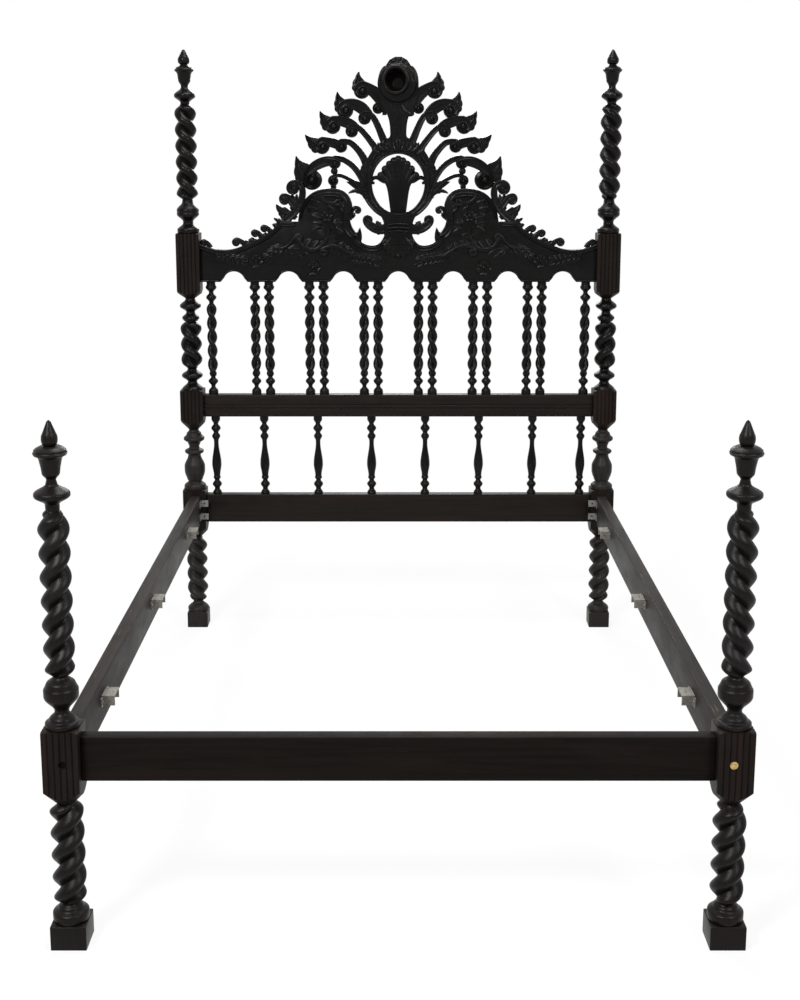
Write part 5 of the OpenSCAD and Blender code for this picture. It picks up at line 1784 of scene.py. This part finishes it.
        self._put(self.openwork, Flame.tip((291, 345), 33, 34, 92).forms())

    def _border(self) -> None:
        """Carves the scrolls that climb the lobe's outer side."""
        stem = Line.bends((384, 205), (356, 224), (342, 240), (330, 266), (314, 304), (322, 336), (352, 334),
                          steps=(18, 18))
        self._spiral(self.openwork, stem, (352, 314), Band(26, 13, 2, -10.5, 3, 9, section=MOULDED), 1.15, 6, 8)
        curl = Line.bends((332, 246), (348, 246), (356, 264), (366, 278), (376, 294), (396, 292), (392, 276),
                          steps=(14, 8))
        self._spiral(self.openwork, curl, (381, 276), Band(24, 12, 3, -9, 3, 8, section=MOULDED), 0.85, 4.5, 7)
        for start, first, second, tip, width in (
            ((336, 240), (352, 238), (362, 252), (356, 268), 15),
            ((344, 262), (350, 276), (350, 288), (362, 292), 13),
            ((344, 214), (366, 236), (394, 224), (411, 262), 28),
            ((356, 212), (378, 222), (394, 212), (398, 230), 14),
            ((380, 204), (398, 200), (410, 208), (420, 216), 14),
            ((328, 262), (340, 268), (346, 284), (340, 296), 12),
        ):
            self._leaf(self.openwork, start, first, second, tip, width, False)
        self._bead(self.openwork, (388, 219), 10, 3, 0.9)

    def _palmette(self) -> None:
        """Carves the palmette in the oval: flutes that fan out into scallops, and the claws that tie it."""
        left = Line([(-23, 228), (-25, 234), (-29, 252), (-30, 289), (-33, 305), (-38, 318), (-48, 338), (-60, 352),
                     (-62, 362), (-50, 382), (-32, 400), (-10, 410)])
        self.openwork.add(Band(0, 0, back=-9, base=-3, rise=2, section=ROUND).between(left, left.mirrored()))
        for k in (-4, 4, -3, 3, -2, 2, -1, 1, 0):
            tip = Vector((14.5 * k, 411 - 2.6 * k * k - 3 * abs(k)))
            line = Line.bend((5.6 * k, 229), (7.2 * k, 310), (6.4 * k, 336), tuple(tip), steps=30)
            forward = 10 - 0.9 * abs(k)
            flute = Band(6.4, 20, 1, back=-7, base=0, rise=forward, section=ROUND)
            self.openwork.add(flute.along(line))
            self._bead(self.openwork, tip, 13, forward - 6.5, 0.62)
            ridge = Band(1.6, 3.2, back=forward - 3, base=forward - 1.5, rise=2.6, section=ROUND)
            self.openwork.add(ridge.along(line.then(Line([tuple(tip + way_out(4.5 * k) * 8)]))))
        for side in (-1, 1):
            hook = Line.bends((side * 38, 340), (side * 56, 336), (side * 64, 356), (side * 80, 350),
                              (side * 92, 345), (side * 94, 332), (side * 84, 332), steps=(16, 8))
            self.openwork.add(Band(19, 8, 1, back=-7, base=0, rise=8, section=LEAF).along(hook))
            self._bead(self.openwork, (side * 84, 333), 5.5, 2, 0.9)

    def _trunk(self) -> None:
        """Carves the trunk that rises from the oval to the mouth, its leaves and its fluted cap."""
        flare = Line.bend((74, 435), (50, 454), (27, 470), (27, 490), steps=24)
        band = Band(0, 0, back=-13, base=4, rise=1, rise_end=12, section=ROUND)
        self.openwork.add(band.between(flare.mirrored(), flare))
        right = Line.bends((27, 490), (27, 546), (36, 560), (60, 598), (76, 664), (66, 702), (46, 716), steps=(24, 20))
        band = Band(0, 0, back=-13, base=5, rise=11, rise_end=16, section=ROUND)
        self.openwork.add(band.between(right.mirrored(), right))
        for shift in (-20, -10, 0, 10, 20):
            line = Line.bend((0.7 * shift, 520), (0.8 * shift, 545), (1.0 * shift, 575), (2.2 * shift, 640), steps=18)
            self.openwork.add(Band(2.5, 13, 1, back=9, base=12.5, rise=4, rise_end=7, section=ROUND).along(line))
        for side in (-1, 1):
            for start, first, second, tip, width in (
                ((8, 436), (20, 452), (26, 470), (22, 506), 15), ((26, 438), (44, 440), (54, 452), (44, 478), 16),
                ((56, 430), (72, 428), (84, 436), (88, 452), 15), ((40, 436), (60, 440), (66, 450), (68, 468), 12),
            ):
                points = [(side * u, v) for u, v in (start, first, second, tip)]
                leaf = Band(5, 2, width, back=4, base=9, rise=6, rise_end=4, section=LEAF, teeth=4, bite=0.3)
                self.openwork.add(leaf.along(Line.bend(*points, steps=22)))
        middle = Band(6, 2, 15, back=6, base=12, rise=6, rise_end=3, section=LEAF, teeth=5, bite=0.25)
        self.openwork.add(middle.along(Line((0, v) for v in range(434, 491, 8))))
        leaf = Line.bend((8, 588), (14, 568), (26, 560), (50, 556), steps=22)
        self.openwork.add(Band(16, 5, 18, 8, 15, 11, 7, LEAF, 4, 0.25).along(leaf))
        for k in range(-3, 4):
            way, foot = way_out(28 * k), Vector((0, 703))
            line = Line([foot + way * r for r in (6, 14, 22, 30, 36, 40, 42.5)])
            self.openwork.add(Band(8, 21, 3, back=-8, base=2, rise=9, rise_end=6, section=ROUND).along(line))
            self._bead(self.openwork, foot + way * 33, 10, 1, 0.9)

    def _pedestal(self) -> None:
        """Carves the pedestal below the oval, with the shell of leaves and the drop at its foot."""
        right = Line.bends((56, 222), (42, 206), (38, 196), (42, 182), (44, 168), (46, 152), (64, 130), steps=(16, 14))
        self.board.add(Band(0, 0, back=8, base=11, rise=8, section=SCOOPED).between(right.mirrored(), right))
        cup = Line.bend((30, 170), (26, 156), (34, 140), (56, 128), steps=14)
        self.board.add(Band(0, 0, back=10, base=17, rise=8, section=ROUND).between(cup.mirrored(), cup))
        for v, w, rise in ((196, 34, 9), (184, 37, 12), (173, 32, 12)):
            ring = Line([(-w, v - 2), (-0.5 * w, v), (0, v + 1), (0.5 * w, v), (w, v - 2)])
            self._relief(self.board, ring, 7, 7, rise, base=self.front + 2)
        for u in (-22, -11, 0, 11, 22):
            line = Line.bend((0.8 * u, 168), (0.8 * u, 152), (1.3 * u, 140), (2.0 * u, 128), steps=12)
            self._relief(self.board, line, 3, 7, 5, base=self.front + 9, back=self.front + 5)
        for k in (-4, 4, -3, 3, -2, 2, -1, 1, 0):
            angle = math.radians(22 * k)
            tip = Vector((0, 132)) + Vector((50 * math.sin(angle), -50 * math.cos(angle)))
            line = Line.bend((4 * k, 134), (9 * k, 124), (tip.x, tip.y + 12), tuple(tip), steps=16)
            self._relief(self.board, line, 5, 15, 7, swell=15, base=self.front + 2)
        self._bead(self.board, (0, 90), 9, self.front + 4, 0.9)


@dataclass(frozen=True)
class Rocaille:
    """The trumpet that stands forward of the crest's trunk, its mouth leaning to the left and up."""

    depth: float = 62
    body_r: float = 68
    lip_r: float = 43
    mouth_r: float = 33
    lean: float = 10
    lift: float = 12
    hollow: float = 57

    def build(self, finishes: Finishes) -> None:
        """Makes the trumpet.

        Args:
            finishes: The bed's finishes.
        """
        d, lip, mouth, body = self.depth, self.lip_r, self.mouth_r, self.body_r
        stations: Stations = (
            (0, 2 * body - 4, LINE), (0.05 * d, 2 * body, COVE), (0.13 * d, 2 * body - 1, LINE),
            (0.18 * d, 2 * body - 9, COVE), (0.22 * d, 2 * body - 12, LINE), (0.28 * d, 2 * body - 13, LINE),
            (0.5 * d, 2 * lip - 4, OGEE), (0.66 * d, 2 * lip - 13, OGEE), (0.72 * d, 2 * lip - 12, LINE),
            (0.84 * d, 2 * lip, OGEE), (0.94 * d, 2 * lip - 2, LINE),
        )
        points = station_points(stations)
        points += [
            (lip - 3, 0.985 * d), (lip - 6, d), (mouth + 2, 0.985 * d), (mouth, 0.95 * d),
            (mouth - 2, d - 0.5 * self.hollow), (mouth - 10, d - 0.9 * self.hollow), (mouth - 20, d - self.hollow),
        ]
        form = spun(points, 80)
        for vert in form.verts:
            share, angle = vert.co.z / d, math.atan2(vert.co.y, vert.co.x)
            fold = 0.035 * math.cos(13 * angle) * max(0.0, 1 - abs(share - 0.42) / 0.24)
            tall = 1 + 0.14 * max(0.0, min(1.0, (share - 0.45) / 0.3))
            vert.co.x = vert.co.x * (1 + fold) - self.lean * share
            vert.co.y = vert.co.y * (1 + fold) * tall + self.lift * share
        rotated(form, 90, "X")
        piece = Piece("dressed_crest_rocaille", "carved_rosewood", "crest_rocaille")
        piece.add(form, finishes.turned, (0, BED.post_y - 13, BED.crest_z + Crest.mouth_v)).done(50)


# ---- Light and camera ----


@dataclass(frozen=True)
class Lamp:
    """A square softbox that faces a point."""

    name: str
    place: tuple[float, float, float]
    size: float
    power: float
    target: tuple[float, float, float] = (0, 0.3, 0.9)

    def build(self) -> None:
        """Hangs the lamp."""
        light = bpy.data.lights.new(self.name, "AREA")
        light.shape, light.size, light.energy = "SQUARE", self.size, self.power
        lamp = bpy.data.objects.new(self.name, light)
        lamp.location = self.place
        lamp.rotation_euler = (Vector(self.target) - Vector(self.place)).to_track_quat("-Z", "Y").to_euler()
        bpy.context.scene.collection.objects.link(lamp)


@dataclass(frozen=True)
class Studio:
    """White studio with the photograph's camera."""

    eye: tuple[float, float, float] = (0, -3.818, 1.749)
    tilt: float = 79.23
    lens: float = 51.08
    shift: tuple[float, float] = (0.0017, -0.1054)
    fill: float = 0.27
    floor_half: float = 14
    floor_drop: float = 0.0005
    pale: float = 0.8
    bounce: float = 0.35
    shadow: float = 0.14
    shadow_fades: tuple[float, float] = (1.0, 2.6)
    gloss_turns: tuple[float, float] = (-0.35, 0.25)
    sensor: float = 36
    sight: float = 100
    lamps: tuple[Lamp, ...] = (
        Lamp("key_softbox", (-1.9, -3.4, 3.6), 0.9, 190),
        Lamp("side_softbox", (2.3, -3.0, 3.2), 0.9, 85),
        Lamp("top_softbox", (0, 0.6, 4.2), 1.6, 100),
        Lamp("back_softbox", (0, 4.0, 2.6), 1.6, 60),
    )

    def build(self) -> None:
        """Sets up camera, lamps, floor and background."""
        self._camera()
        for lamp in self.lamps:
            lamp.build()
        self._background()
        self._floor()
        bpy.context.scene.view_settings.view_transform = "Standard"

    def _camera(self) -> None:
        """Places the camera where the photograph was taken from."""
        data = bpy.data.cameras.new("photo_camera")
        data.lens, data.sensor_width = self.lens, self.sensor
        data.shift_x, data.shift_y = self.shift
        data.clip_end = self.sight
        camera = bpy.data.objects.new("photo_camera", data)
        camera.location = self.eye
        camera.rotation_euler = (math.radians(self.tilt), 0, 0)
        bpy.context.scene.collection.objects.link(camera)
        bpy.context.scene.camera = camera

    @staticmethod
    def _seen(shop: Shader) -> Wire:
        """Tells which rays see the white background: camera, glossy and transmitted rays.

        Args:
            shop: The node tree that asks.

        Returns:
            1 for such a ray and 0 for any other.
        """
        path = [shop.add("ShaderNodeLightPath", {}, {}, name)
                for name in ("Is Camera Ray", "Is Glossy Ray", "Is Transmission Ray")]
        return (path[0] + path[1] + path[2]).clamped()

    def _background(self) -> None:
        """Makes the world white to the camera, and in gloss where it lies behind the bed, with a plain fill light."""
        shop = Shader(bpy.data.worlds.new("studio"), "ShaderNodeOutputWorld")
        way = shop.add("ShaderNodeSeparateXYZ", {}, {0: shop.add("ShaderNodeTexCoord", {}, {}, "Generated")}, "Y")
        camera = shop.add("ShaderNodeLightPath", {}, {}, "Is Camera Ray")
        gloss = self._seen(shop) * way.between(*self.gloss_turns)
        strength = (camera + gloss).clamped() * (1.0 - self.fill) + self.fill
        sky = shop.add("ShaderNodeBackground", {}, {"Color": (1, 1, 1, 1), "Strength": strength})
        bpy.context.scene.world = shop.end(sky)

    def _floor(self) -> None:
        """Lays a pale floor that looks white and keeps the bed's shadow."""
        form = bmesh.new()
        bmesh.ops.create_grid(form, x_segments=1, y_segments=1, size=self.floor_half)
        bmesh.ops.translate(form, verts=form.verts[:], vec=(0, 0, -self.floor_drop))
        mesh = bpy.data.meshes.new("studio_floor")
        form.to_mesh(mesh)
        form.free()
        shop = Shader(bpy.data.materials.new("white_floor"))
        seen = self._seen(shop)
        matt = shop.add("ShaderNodeBsdfDiffuse", {}, {"Color": seen * (self.pale - self.bounce) + self.bounce})
        glow = shop.add("ShaderNodeEmission", {}, {"Color": (1, 1, 1, 1), "Strength": 1.0})
        far = shop.add("ShaderNodeVectorMath", {"operation": "LENGTH"}, {0: shop.place((1, 0.8, 1))}, "Value")
        share = seen * (far.between(*self.shadow_fades) * self.shadow + (1 - self.shadow))
        mixed = shop.add("ShaderNodeMixShader", {}, {"Fac": share, 1: matt, 2: glow})
        mesh.materials.append(shop.end(mixed))
        floor = bpy.data.objects.new("studio_floor", mesh)
        bpy.context.scene.collection.objects.link(floor)


# ---- The whole bed ----


def dress_ironwork(nodes: dict[str, bpy.types.Object], finishes: Finishes) -> None:
    """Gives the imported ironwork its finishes.

    Args:
        nodes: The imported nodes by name.
        finishes: The bed's finishes.
    """
    for name, node in nodes.items():
        if name.startswith("corner_plate"):
            finish = finishes.plate
        elif name.startswith("bolt_cap"):
            finish = finishes.brass
        elif name.startswith(("slat_bracket", "bed_bolt", "bolt_nut", "bracket_screws", "corner_screws")):
            finish = finishes.iron
        else:
            continue
        if not node.material_slots:
            node.data.materials.append(finish)
        for place in node.material_slots:
            place.material = finish
        LOG.info("%s: %s", name, finish.name)


def main() -> None:
    """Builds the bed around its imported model."""
    logging.basicConfig(level=logging.INFO, format="%(name)s %(message)s")
    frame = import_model()
    Studio().build()
    finishes = Finishes()
    FootPost(Side.LEFT, Hand.RIGHTWARD, Hand.RIGHTWARD, bulge=7, leg_bulge=8).build(finishes)
    FootPost(Side.RIGHT, Hand.RIGHTWARD, Hand.LEFTWARD, bulge=10, leg_bulge=38).build(finishes)
    HeadPost(Side.LEFT, Hand.LEFTWARD, Hand.LEFTWARD, Hand.LEFTWARD, bulges=(2, 36, 22)).build(finishes)
    HeadPost(Side.RIGHT, Hand.RIGHTWARD, Hand.RIGHTWARD, Hand.LEFTWARD, bulges=(10, 36, 44)).build(finishes)
    Spindles().build(finishes)
    Rails().build(finishes)
    Crest(finishes).build()
    Rocaille().build(finishes)
    dress_ironwork(frame["nodes"], finishes)


if __name__ == "__main__":
    main()
